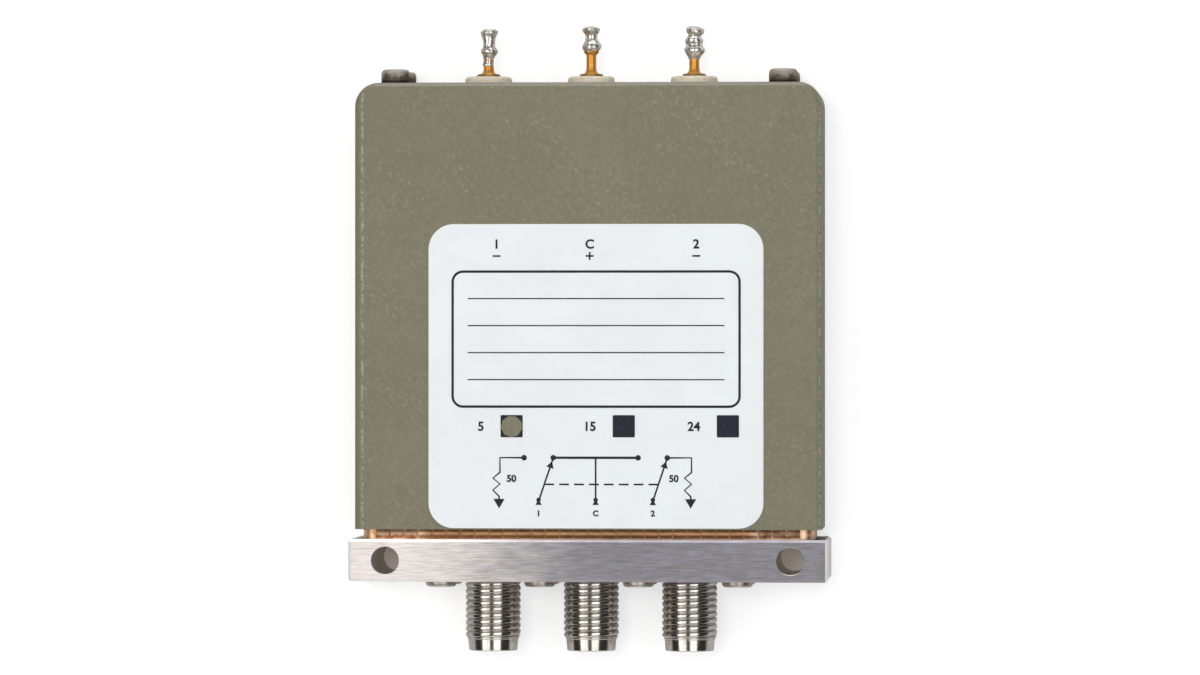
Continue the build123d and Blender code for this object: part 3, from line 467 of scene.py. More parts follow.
@dataclass(frozen=True)
class CanPaint(Finish):
    """Fine textured paint with scattered lighter grains that are partly painted glints, a painted highlight line
    inside each side and a painted highlight along the top.
    """

    colour: Colour = (0.205, 0.195, 0.129)
    shade: Colour = (0.175, 0.167, 0.110)
    # Colour of the flecks: lighter grains of the paint, partly painted glints on the raised grains.
    light: Colour = (0.40, 0.37, 0.27)
    warm: Colour = (0.245, 0.195, 0.142)
    # Colour of the painted highlight of the rounded side edges, a dotted light line.
    edge_glint: Colour = (0.43, 0.41, 0.30)
    grain: tuple[float, float, float] = (0.34, 0.52, 0.34)
    slant_degrees: float = -37.0
    # How far the painted highlight line lies inside the left side, and inside the right side.
    edge_glint_insets: tuple[float, float] = (0.92, 0.22)
    # From the middle of that line, where it has faded and where it is full.
    edge_glint_reach: tuple[float, float] = (0.19, 0.06)
    # Under the front face, where the painted highlight starts and where it is full.
    edge_glint_depth: tuple[float, float] = (0.8, 0.5)
    # Colour of the painted highlight along the top, where the rounded top edge catches the light.
    top_sheen: Colour = (0.36, 0.33, 0.30)
    # Under the top face, where the painted highlight starts and where it is full.
    top_sheen_depth: tuple[float, float] = (0.55, 0.2)

    def make(self) -> Material:
        """Make the material.

        Returns:
            The material.
        """
        shader = Shader(self.name)
        cover = Span.of("housing_cover")
        slant = (0.0, 0.0, math.radians(self.slant_degrees))
        slanted = shader.node("ShaderNodeMapping", {}, {"Vector": shader.where, "Rotation": slant})
        grain = shader.noise(self.grain, 2.0, slanted.outputs[0])
        cloud = shader.noise((11.0, 14.0, 11.0), 3.0)
        picked = shader.noise(5.0, 2.0).rise(0.42, 0.60)
        # Flecks: lighter grains of the paint, partly painted glints where the raised grains catch the light.
        glint_flecks = grain.rise(0.60, 0.76) * picked
        tone = shader.blend((cloud * 0.3 + grain * 0.7).rise(0.36, 0.64), self.shade, self.colour)
        tone = shader.blend(glint_flecks * 0.36, tone, self.light)
        warmth = shader.noise((3.6, 4.6, 3.6), 3.0).rise(0.50, 0.68)
        tone = shader.blend(warmth * 0.20, tone, self.warm)
        # Painted highlight: a dotted light line inside each side, where the rounded edge catches the light.
        left, right = self.edge_glint_insets
        inset = left - shader.x.rise(-1.0, 1.0) * (left - right)
        inside = abs(abs(shader.x) - cover.high.x + inset)
        glint_dots = shader.noise((0.4, 0.42, 0.4), 1.0).rise(0.44, 0.56)
        edge_glint = inside.rise(*self.edge_glint_reach) * glint_dots
        edge_glint = edge_glint * (cover.high.z - shader.z).rise(*self.edge_glint_depth)
        tone = shader.blend(edge_glint * 0.55, tone, self.edge_glint)
        # Painted highlight: lighter along the top.
        top_sheen_share = (cover.high.y - shader.y).rise(*self.top_sheen_depth)
        tone = shader.blend(top_sheen_share * 0.4, tone, self.top_sheen)
        rough = 0.38 + (grain - 0.5) * 0.25
        relief = grain * 0.8 + glint_flecks * 0.4
        return shader.dress(relief, 0.045, Base_Color=tone, Roughness=rough, Specular_IOR_Level=0.35)


@dataclass(frozen=True)
class LabelFilm(Finish):
    """Satin white film with a faint orange-peel surface and a little soiling."""

    colour: Colour = (0.808, 0.844, 0.860)
    shade: Colour = (0.787, 0.819, 0.833)
    soil: Colour = (0.62, 0.60, 0.54)

    def make(self) -> Material:
        """Make the material.

        Returns:
            The material.
        """
        shader = Shader(self.name)
        peel = shader.noise(0.8, 2.0)
        cloud = shader.noise(6.0, 3.0)
        smudge = shader.noise(2.2, 4.0).rise(0.60, 0.78)
        tone = shader.blend(cloud.rise(0.35, 0.65), self.colour, self.shade)
        tone = shader.blend(smudge * 0.10, tone, self.soil)
        rough = 0.34 + (cloud - 0.5) * 0.16
        return shader.dress(peel, 0.006, Base_Color=tone, Roughness=rough)


@dataclass(frozen=True)
class Ink(Finish):
    """Printing ink that thins out a little over the film's grain."""

    colour: Colour = (0.014, 0.017, 0.028)
    thin: Colour = (0.045, 0.052, 0.072)

    def make(self) -> Material:
        """Make the material.

        Returns:
            The material.
        """
        shader = Shader(self.name)
        grain = shader.noise(0.16, 3.0)
        tone = shader.blend(grain.rise(0.52, 0.80), self.colour, self.thin)
        return shader.dress(grain, 0.003, Base_Color=tone, Roughness=0.5, Specular_IOR_Level=0.2)


@dataclass(frozen=True)
class HeadAluminium(Finish):
    """Milled aluminium, brushed along X, with a painted reflection, bright and warm at the left end and dim and
    bluish at the right, painted lighter side faces and painted shade deep in its holes.
    """

    # Painted reflection along X: colour at its bright left end, then at its dim right end.
    warm: Colour = (0.98, 0.91, 0.87)
    dim_reflection: Colour = (0.345, 0.332, 0.360)
    # Where along X the painted reflection starts to dim, and where it is fully dim, give or take the waver.
    dimming: tuple[float, float] = (-22.0, 3.0)
    dimming_waver: float = 14.0
    lip: Colour = (0.50, 0.42, 0.35)
    # Painted lighter colour of the side faces, where the light falls on them.
    side: Colour = (0.90, 0.89, 0.88)
    # How far inside the edges the looks of the upper face and of the painted lighter side faces start and end.
    lip_depth: tuple[float, float] = (0.32, 0.28)
    lit_side_depth: tuple[float, float] = (0.32, 0.26)
    hole_x: float = HOLES["spacing_x_mm"] / 2
    hole_radius: float = HOLES["hole_r_mm"]
    bore: Colour = (0.70, 0.66, 0.61)
    bore_reach: tuple[float, float] = (0.1, 0.03)
    # Heights where the painted shade deep in the holes starts and where it is full.
    bore_shade: tuple[float, float] = (1.6, 0.3)
    # Colour of the brush stains, also used for the painted shade deep in the holes.
    stain_and_shade: Colour = (0.20, 0.18, 0.17)
    tint: Colour = (0.52, 0.42, 0.47)
    # Painted bluish reflection tint over the dim end.
    blue_reflection: Colour = (0.43, 0.44, 0.56)

    def make(self) -> Material:
        """Make the material.

        Returns:
            The material.
        """
        shader = Shader(self.name)
        brush = shader.noise((2.6, 0.10, 0.10), 4.0)
        streak = shader.noise((6.0, 0.24, 0.24), 3.0)
        patch = shader.noise((3.2, 1.3, 1.3), 3.0)
        mottle = shader.noise((1.7, 0.6, 0.6), 3.0)
        # Painted reflection: bright and warm at the left end, dim at the right.
        dimmed = (shader.x + (patch - 0.5) * self.dimming_waver).rise(*self.dimming)
        tone = shader.blend(dimmed, self.warm, self.dim_reflection)
        # Brush stains, stronger towards the dim end of the painted reflection.
        tone = shader.blend(brush.rise(0.62, 0.38) * (0.26 + dimmed * 0.30), tone, self.stain_and_shade)
        # Painted bluish reflection tint in patches over the dim end.
        tone = shader.blend(mottle.rise(0.46, 0.62) * dimmed * 0.24, tone, self.blue_reflection)
        tone = shader.blend(streak.rise(0.52, 0.80) * 0.30, tone, self.stain_and_shade)
        tone = shader.blend(patch.rise(0.60, 0.80) * 0.3, tone, self.tint)
        corner = Span.of("rf_head").high
        # Painted light: the side faces lighter.
        sides = (corner.x - abs(shader.x)).rise(*self.lit_side_depth)
        tone = shader.blend(sides, tone, self.side)
        aside = abs(shader.x) - self.hole_x
        from_axis = aside * aside + shader.y * shader.y
        wall = from_axis.rise(*((self.hole_radius + reach) ** 2 for reach in self.bore_reach))
        tone = shader.blend((corner.y - shader.y).rise(*self.lip_depth), tone, self.lip)
        tone = shader.blend(wall, tone, self.bore)
        # Painted shade deep in the holes, darker towards the back.
        tone = shader.blend(wall * shader.z.rise(*self.bore_shade) * 0.75, tone, self.stain_and_shade)
        rough = 0.42 + (brush - 0.5) * 0.24 + (patch - 0.5) * 0.1
        metal = (1.0 - sides * 0.7) * (0.60 + dimmed * 0.40)
        relief = brush * 0.7 + streak * 0.3
        return shader.dress(relief, 0.006, Base_Color=tone, Metallic=metal, Roughness=rough)


@dataclass(frozen=True)
class SolderTin(Finish):
    """Bright tin-lead solder with flux browned in its hollows."""

    colour: Colour = (0.95, 0.93, 0.88)
    dull: Colour = (0.56, 0.53, 0.48)
    flux: Colour = (0.33, 0.22, 0.12)

    def make(self) -> Material:
        """Make the material.

        Returns:
            The material.
        """
        shader = Shader(self.name)
        lumps = shader.noise((0.6, 0.45, 0.6), 1.0)
        patch = shader.noise((0.95, 0.65, 0.95), 2.0)
        browned = patch.rise(0.55, 0.66)
        tone = shader.blend(lumps.rise(0.40, 0.62), self.colour, self.dull)
        tone = shader.blend(browned * 0.5, tone, self.flux)
        rough = 0.20 + lumps * 0.12 + browned * 0.12
        metal = 0.92 - browned * 0.30
        coat = browned * 0.6
        return shader.dress(
            lumps, 0.006, Base_Color=tone, Metallic=metal, Roughness=rough, Coat_Weight=coat
        )


@dataclass(frozen=True)
class FingerCopper(Finish):
    """Spring copper strip, brown along most of it, with bright patches towards its ends that are partly painted
    highlights.
    """

    colour: Colour = (0.64, 0.34, 0.17)
    shade: Colour = (0.44, 0.23, 0.115)
    # Bright patches at the ends: partly clean copper, partly painted highlights of the lit fingers.
    bright: Colour = (0.97, 0.64, 0.42)
    bright_from: float = 17.6
    bright_to: float = 19.2

    def make(self) -> Material:
        """Make the material.

        Returns:
            The material.
        """
        shader = Shader(self.name)
        streak = shader.noise((1.6, 0.09, 1.6), 3.0)
        patch = shader.noise(0.9, 3.0)
        tone = shader.blend((streak * 0.6 + patch * 0.4).rise(0.38, 0.62), self.colour, self.shade)
        # Bright patches towards the ends, partly painted highlights of the lit fingers.
        ends = abs(shader.x).rise(self.bright_from, self.bright_to) * patch.rise(0.36, 0.56)
        tone = shader.blend(ends, tone, self.bright)
        rough = 0.40 + (streak - 0.5) * 0.25
        return shader.dress(streak, 0.006, Base_Color=tone, Metallic=0.85, Roughness=rough)


@dataclass(frozen=True)
class EnamelWire(Finish):
    """Close turns of enamelled wire round each coil, with painted shade in the grooves between turns."""

    colour: Colour = (0.50, 0.19, 0.06)
    # Colour of the painted shade in the grooves between turns and of darker patches.
    shade: Colour = (0.20, 0.06, 0.02)
    wire: float = 0.14

    def make(self) -> Material:
        """Make the material.

        Returns:
            The material.
        """
        shader = Shader(self.name)
        waver = shader.noise(4.0, 1.0) * 0.2
        turns = abs((shader.y + waver).folded(self.wire, 0.0)) * (2 / self.wire)
        patch = shader.noise((2.5, 0.5, 2.5), 2.0)
        # Painted shade: darker towards the grooves between turns, and in patches.
        tone = shader.blend((turns * 0.7 + patch * 0.5).rise(0.45, 1.0), self.colour, self.shade)
        round_wire = 1 - turns * turns
        rough = 0.25 + patch * 0.15
        return shader.dress(round_wire, 0.05, Base_Color=tone, Metallic=0.6, Roughness=rough)


@dataclass(frozen=True)
class BoardMask(Finish):
    """Glass-filled board under green solder mask, with tinned rings at its holes."""

    colour: Colour = (0.020, 0.120, 0.050)
    shade: Colour = (0.012, 0.075, 0.034)
    pad: Colour = (0.70, 0.66, 0.58)
    pad_radius: float = 1.25
    spacing: float = 11.7

    def make(self) -> Material:
        """Make the material.

        Returns:
            The material.
        """
        shader = Shader(self.name)
        weave = abs(shader.x.folded(0.5, 0.0)) + abs(shader.z.folded(0.5, 0.0))
        patch = shader.noise(4.0, 3.0)
        tone = shader.blend((weave + patch * 0.6).rise(0.35, 0.95), self.colour, self.shade)
        pads = shader.radius(self.spacing, 0.0, 0.0).rise(self.pad_radius + 0.05, self.pad_radius)
        tone = shader.blend(pads, tone, self.pad)
        rough = 0.30 + patch * 0.12 - pads * 0.05
        return shader.dress(weave, 0.01, Base_Color=tone, Metallic=pads, Roughness=rough)


@dataclass(frozen=True)
class DiodeBody(Finish):
    """Black moulded diode with a pale cathode band, on tinned wires."""

    colour: Colour = (0.018, 0.018, 0.020)
    band: Colour = (0.62, 0.62, 0.60)
    wire: Colour = (0.66, 0.63, 0.58)
    body_radius: float = 0.84
    half_length: float = 1.69
    half_span: float = 2.5
    band_from: float = 0.75
    band_to: float = 1.25
    band_edge: float = 0.02

    def make(self) -> Material:
        """Make the material.

        Returns:
            The material.
        """
        shader = Shader(self.name)
        corner = Span.of("suppression_diodes").high
        along = abs(shader.x) - (corner.x - self.half_span)
        up = shader.y - (corner.y - self.body_radius)
        deep = shader.z - MIDDLE.z
        radius = shader.x.math("SQRT", up * up + deep * deep)
        banded = along.rise(self.band_from, self.band_from + self.band_edge)
        banded = banded * along.rise(self.band_to, self.band_to - self.band_edge)
        tone = shader.blend(banded, self.colour, self.band)
        bare = 1 - abs(along).rise(self.half_length + 0.03, self.half_length) * radius.rise(0.2, 0.3)
        tone = shader.blend(bare, tone, self.wire)
        grain = shader.noise(0.12, 2.0)
        return shader.dress(grain, 0.004, Base_Color=tone, Metallic=bare, Roughness=0.28 + grain * 0.12)


# ------------------------------------------------------------------ bench work


class Pick(Enum):
    """What a selection picks from a mesh."""

    VERTICES = "VERT"
    EDGES = "EDGE"


class Align(Enum):
    """Which part of a word stands at its place."""

    CENTRE = "CENTER"
    RIGHT = "RIGHT"


@dataclass(frozen=True)
class Ring:
    """One ring of a turned form in millimetres: radius, height and shift off the axis."""

    radius: float
    height: float
    shift: float = 0.0


def ring_stack(*rings: tuple[float, ...]) -> tuple[Ring, ...]:
    """Make rings from their numbers."""
    return tuple(Ring(*numbers) for numbers in rings)


def deselect() -> None:
    """Leave nothing selected, so that an operator works on the new piece alone."""
    bpy.ops.object.select_all(action="DESELECT")


def adopt(name: str) -> Piece:
    """Name the object that was just added and move its place into its mesh.

    Args:
        name: The piece's name.

    Returns:
        The piece, at the origin.
    """
    piece = bpy.context.object
    piece.name = name
    piece.data.name = name
    bpy.ops.object.transform_apply(location=True, rotation=True, scale=True)
    return piece


def work_on(piece: Piece, mode: str = "OBJECT") -> None:
    """Make one piece the selected, active one.

    Args:
        piece: The piece.
        mode: The mode to work in.
    """
    deselect()
    piece.select_set(True)
    bpy.context.view_layer.objects.active = piece
    bpy.ops.object.mode_set(mode=mode)


@contextmanager
def editing(piece: Piece) -> Iterator[None]:
    """Hold a piece in edit mode, at first with all of it selected.

    Args:
        piece: The piece.

    Yields:
        Nothing, while the piece is held.
    """
    work_on(piece, "EDIT")
    bpy.ops.mesh.select_mode(type="VERT")
    bpy.ops.mesh.select_all(action="SELECT")
    yield
    bpy.ops.object.mode_set(mode="OBJECT")


def pick(piece: Piece, kind: Pick, test: Callable[[Vector], bool]) -> None:
    """Select what passes a test, in edit mode.

    Args:
        piece: The mesh in edit mode.
        kind: What to pick.
        test: Asked with the middle of each, in millimetres.
    """
    bpy.ops.mesh.select_mode(type=kind.value)
    bpy.ops.mesh.select_all(action="DESELECT")
    mesh = bmesh.from_edit_mesh(piece.data)
    for part in mesh.verts if kind is Pick.VERTICES else mesh.edges:
        corners = [part] if kind is Pick.VERTICES else part.verts
        middle = sum((corner.co for corner in corners), Vector()) / len(corners)
        if test(middle / MM):
            part.select_set(True)
    mesh.select_flush_mode()
    bmesh.update_edit_mesh(piece.data)


def close_ends(hollow: bool = False) -> None:
    """Close the open rings of the mesh in edit mode and turn its faces outwards.

    Args:
        hollow: Whether the two rings are joined to each other and not capped.
    """
    bpy.ops.mesh.select_mode(type="VERT")
    bpy.ops.mesh.select_all(action="DESELECT")
    bpy.ops.mesh.select_non_manifold(extend=False)
    if hollow:
        bpy.ops.mesh.bridge_edge_loops()
    else:
        bpy.ops.mesh.fill_holes(sides=0)
        bpy.ops.mesh.select_all(action="DESELECT")
        bpy.ops.mesh.select_mode(type="FACE")
        bpy.ops.mesh.select_face_by_sides(number=6, type="GREATER")
        bpy.ops.mesh.poke()
    bpy.ops.mesh.select_all(action="SELECT")
    bpy.ops.mesh.normals_make_consistent(inside=False)


def turned(
    name: str, foot: Vector, rings: Sequence[Ring], sides: int = 48, hollow: bool = False
) -> Piece:
    """Turn a piece about an upright axis by extruding a ring of edges.

    Args:
        name: The piece's name.
        foot: Point of the axis that ring heights count from, in millimetres.
        rings: The outline, from its first ring to its last.
        sides: Vertices of a ring.
        hollow: Whether the outline runs back to its first ring.

    Returns:
        The closed piece.
    """
    first = rings[0]
    deselect()
    bpy.ops.mesh.primitive_circle_add(
        vertices=sides,
        radius=first.radius * MM,
        location=(foot + Vector((first.shift, first.height, 0))) * MM,
        rotation=(-math.pi / 2, 0, 0),
    )
    piece = adopt(name)
    with editing(piece):
        for before, ring in zip(rings, rings[1:]):
            step = Vector((ring.shift - before.shift, ring.height - before.height, 0)) * MM
            centre = (foot + Vector((ring.shift, ring.height, 0))) * MM
            bpy.ops.mesh.extrude_region_move(TRANSFORM_OT_translate={"value": step})
            ratio = ring.radius / before.radius
            bpy.ops.transform.resize(value=(ratio, 1, ratio), center_override=centre)
        close_ends(hollow)
    return piece


def modify(piece: Piece, kind: str, **settings: object) -> None:
    """Add a modifier to a piece and apply it.

    Args:
        piece: The piece.
        kind: Type of the modifier.
        **settings: Its properties by name.
    """
    work_on(piece)
    modifier = piece.modifiers.new(kind.lower(), kind)
    for setting, value in settings.items():
        setattr(modifier, setting, value)
    bpy.ops.object.modifier_apply(modifier=modifier.name)


def joined(name: str, pieces: Sequence[Piece]) -> Piece:
    """Join pieces into one.

    Args:
        name: Name of the whole.
        pieces: What is joined, the first of them taking in the rest.

    Returns:
        The whole.
    """
    work_on(pieces[0])
    for piece in pieces:
        piece.select_set(True)
    bpy.ops.object.join()
    return adopt(name)


def copied(piece: Piece, name: str, move: Vector) -> Piece:
    """Copy a piece with its own mesh to another place.

    Args:
        piece: What is copied.
        name: Name of the copy.
        move: From the piece to its copy, in millimetres.

    Returns:
        The copy.
    """
    work_on(piece)
    bpy.ops.object.duplicate(linked=False)
    bpy.context.object.location = move * MM
    return adopt(name)


@cache
def material_of(finish: Finish) -> Material:
    """Make the material of a finish once, when it is first asked for."""
    return finish.make()


def dress(piece: Piece, finish: Finish) -> None:
    """Give a piece its finish."""
    piece.data.materials.clear()
    piece.data.materials.append(material_of(finish))


def mount_piece(
    piece: Piece, finish: Finish, body: str = BODY, replaces: Sequence[str] = ()
) -> None:
    """Dress a finished piece and fix it to its body.

    Args:
        piece: The piece, with its place in its mesh.
        finish: What it is made of.
        body: Body that it moves with.
        replaces: Frame nodes that it stands for.
    """
    work_on(piece)
    bpy.ops.object.shade_smooth_by_angle(angle=SMOOTH_ANGLE)
    dress(piece, finish)
    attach(piece, body)
    if replaces:
        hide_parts(*replaces)


def dress_node(name: str, finish: Finish) -> None:
    """Give a frame node its finish."""
    dress(frame["nodes"][name], finish)


@dataclass(frozen=True)
class Span:
    """Box of a frame node in millimetres."""

    low: Vector
    high: Vector

    @classmethod
    def of(cls, node: str) -> "Span":
        """Measure a frame node."""
        low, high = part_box(node)
        return cls(low / MM, high / MM)

    @property
    def middle(self) -> Vector:
        """Middle of the box."""
        return (self.low + self.high) / 2

    @property
    def size(self) -> Vector:
        """Length of the box along each axis."""
        return self.high - self.low


MIDDLE = Span.of("rf_head").middle
PORT_SPACING = Span.of("connector_shell_2").middle.x
TERMINAL_SPACING = Span.of("terminal_post_2").middle.x
COVER_TOP = Span.of("housing_cover").high.y
# From the back row of head screws to the front row.
SCREW_ROWS = 7.5

PAINT = CanPaint("can_paint", "painted_can")
FILM = LabelFilm("label_film", "label_film")
INK = Ink("label_ink", "label_film")
ALUMINIUM = HeadAluminium("head_aluminium", "machined_aluminium")
PLATE = Metal(
    "milled_plate", "machined_aluminium", (0.62, 0.60, 0.59), (0.50, 0.49, 0.49), 0.38, Grain.ALONG_X
)
# Port steel with painted shade in the thread roots, above the nose.
SHELL_STEEL = TurnedMetal(
    "port_steel", "connector_steel", (0.70, 0.66, 0.60), (0.56, 0.52, 0.46), PORT_SPACING,
    roughness=0.16, uneven=0.08, depth=0.001, painted_shade_from=2.88, painted_shade_to=3.0, painted_shade_above=-9.0,
)
HEAD_SCREW_STEEL = TurnedMetal(
    "head_screw_steel", "connector_steel", (0.62, 0.57, 0.50), (0.46, 0.41, 0.35), PORT_SPACING,
    offset=0.5, rows=SCREW_ROWS, roughness=0.4,
)
# Screw steel with a painted highlight on its crown and a painted shadow round its foot.
COVER_SCREW_STEEL = CapSteel(
    "cover_screw_steel", "screw_steel",
    colour=(0.095, 0.078, 0.053), crown_highlight=(0.38, 0.35, 0.29), painted_shade=(0.008, 0.006, 0.004),
    foot=COVER_TOP, height=Span.of("cover_screws").high.y - COVER_TOP,
)
SMALL_SCREW_STEEL = Metal(
    "small_screw_steel", "screw_steel", (0.42, 0.40, 0.37), (0.28, 0.26, 0.24), 0.32
)
WHITE_RESIN = Moulded(
    "port_resin", "insulator_white", (0.80, 0.79, 0.75), (0.72, 0.70, 0.65), 0.38
)
BUSHING_RESIN = Moulded(
    "bushing_resin", "bushing_insulation", (0.75, 0.67, 0.53), (0.66, 0.58, 0.46),
    roughness=0.55, size=0.35, depth=0.012, speck=0.55,
)
GOLD, DEEP_GOLD = (0.90, 0.58, 0.20), (0.80, 0.47, 0.13)
PORT_GOLD = TurnedMetal("contact_gold", "gold_plate", GOLD, DEEP_GOLD, PORT_SPACING, roughness=0.2)
REED_GOLD = Metal("reed_gold", "gold_plate", GOLD, DEEP_GOLD, 0.24, Grain.ALONG_X)
# Turret gold with painted shade that darkens the wider rings, fully on the base ring.
TURRET_GOLD = TurnedMetal(
    "turret_gold", "gold_plate", (0.84, 0.43, 0.10), (0.70, 0.30, 0.05), TERMINAL_SPACING,
    roughness=0.34, depth=0.0012, metal=0.75, painted_shade=(0.16, 0.11, 0.04), painted_shade_from=1.15, painted_shade_to=0.64,
)
TIN = SolderTin("terminal_solder", "gold_plate")
COPPER = FingerCopper("finger_copper", "finger_copper")
PLATED_IRON = Metal(
    "plated_iron", "soft_iron", (0.62, 0.61, 0.58), (0.48, 0.47, 0.46), 0.28, Grain.ALONG_X
)
CORE_IRON = Metal("core_iron", "soft_iron", (0.60, 0.59, 0.57), (0.46, 0.45, 0.44), 0.26)
SPRING_WIRE = Metal("spring_wire", "spring_steel", (0.64, 0.63, 0.62), (0.44, 0.43, 0.43), 0.22)
GROUND_PIN = Metal(
    "ground_pin", "spring_steel", (0.68, 0.67, 0.66), (0.52, 0.51, 0.50), 0.16, Grain.ALONG_Z
)
MAGNET = Metal(
    "sintered_magnet", "magnet_grey", (0.13, 0.13, 0.135), (0.07, 0.07, 0.075),
    roughness=0.5, grain=Grain.CAST, depth=0.03,
)
NYLON = Moulded("bobbin_nylon", "bobbin_nylon", (0.74, 0.70, 0.60), (0.66, 0.61, 0.50), 0.42)
WIRE = EnamelWire("coil_wire", "winding_copper")
BOARD = BoardMask("board_mask", "board_green", spacing=TERMINAL_SPACING)
CERAMIC = Moulded(
    "load_ceramic", "load_ceramic", (0.80, 0.80, 0.77), (0.70, 0.70, 0.66), 0.5, 0.12, 0.01
)
DIODE = DiodeBody("diode_body", "diode_black")
ROD = Moulded("rod_resin", "rod_resin", (0.62, 0.38, 0.13), (0.52, 0.29, 0.09), 0.36)
LEAD = Moulded(
    "lead_insulation", "lead_red", (0.40, 0.025, 0.015), (0.30, 0.015, 0.010), 0.4, 0.2
)


# ------------------------------------------------------------------ sub-assemblies


@dataclass
class CoaxialPorts:
    """Three threaded ports under the head, each a shell, an insulator and a socket contact."""

    marks: tuple[str, ...] = ("common", "1", "2")
    root_radius: float = 2.94
    crest: float = 0.21
    crest_half: float = 0.345
    crest_bevel: float = 0.09
    pitch: float = 0.7056
    thread_steps: int = 48
    bore_radius: float = 2.05
    shank_radius: float = 2.62
    nose_radius: float = 2.85
    nose_slope: float = 0.35
    tip_radius: float = 2.70
    mouth_radius: float = 2.325
    nose_length: float = 1.40
    mouth_depth: float = 1.90
    edge: float = 0.09
    shell_sides: int = 64

    def shell(self, name: str) -> Piece:
        """Turn the common port's shell without its thread.

        Args:
            name: Name of the piece.

        Returns:
            The hollow shell.
        """
        span = Span.of("connector_shell_common")
        end, top = span.low.y, span.high.y
        seat = Span.of("rf_head").low.y
        nose = end + self.nose_length
        half_edge = self.edge / 2
        rings = ring_stack(
            (self.bore_radius, top),
            (self.shank_radius, top),
            (self.shank_radius, seat),
            (self.root_radius, seat),
            (self.root_radius, nose),
            (self.nose_radius, nose - self.edge),
            (self.tip_radius + half_edge, end + self.edge),
            (self.tip_radius - half_edge, end),
            (self.mouth_radius + self.edge, end),
            (self.mouth_radius, end + self.edge),
            (self.mouth_radius, end + self.mouth_depth),
            (self.bore_radius, end + self.mouth_depth),
        )
        return turned(name, Vector((0, 0, MIDDLE.z)), rings, self.shell_sides, hollow=True)

    def thread(self, name: str) -> Piece:
        """Wind the common port's thread round its shell.

        Args:
            name: Name of the piece.

        Returns:
            The closed ridge of the thread, turned down at its end.
        """
        seat = Span.of("rf_head").low.y
        nose = Span.of("connector_shell_common").low.y + self.nose_length
        turns = math.ceil((seat - nose) / self.pitch) + 2
        deselect()
        bpy.ops.mesh.primitive_circle_add(
            vertices=6, radius=MM, location=(self.root_radius * MM, (nose - self.pitch) * MM, 0)
        )
        bpy.context.object.scale = (self.crest, self.crest_half, 1)
        ridge = adopt(name)
        with editing(ridge):
            bpy.ops.mesh.bevel(offset=self.crest_bevel * MM, segments=2, affect="VERTICES")
        modify(
            ridge, "SCREW", axis="Y", angle=2 * math.pi, screw_offset=self.pitch * MM,
            iterations=turns, steps=self.thread_steps, render_steps=self.thread_steps,
        )
        with editing(ridge):
            close_ends()
            bpy.ops.transform.translate(value=(0, 0, MIDDLE.z * MM))
        outer = self.root_radius + self.crest
        profile = ring_stack((outer, seat), (outer, nose + self.nose_slope), (self.nose_radius, nose))
        blank = turned("thread_blank", Vector((0, 0, MIDDLE.z)), profile)
        modify(ridge, "BOOLEAN", object=blank, operation="INTERSECT", solver="EXACT")
        bpy.data.objects.remove(blank)
        return ridge

    def build(self) -> None:
        """Build one port and copy it to the other two places."""
        common, *others = self.marks
        parts = [self.shell("port_shell"), self.thread("port_thread")]
        shells = {common: joined(f"threaded_shell_{common}", parts)}
        for mark in others:
            move = Vector((Span.of(f"connector_shell_{mark}").middle.x, 0, 0))
            shells[mark] = copied(shells[common], f"threaded_shell_{mark}", move)
        for mark, shell in shells.items():
            mount_piece(shell, SHELL_STEEL, replaces=[f"connector_shell_{mark}"])
            dress_node(f"connector_insulator_{mark}", WHITE_RESIN)
            dress_node(f"connector_contact_{mark}", PORT_GOLD)


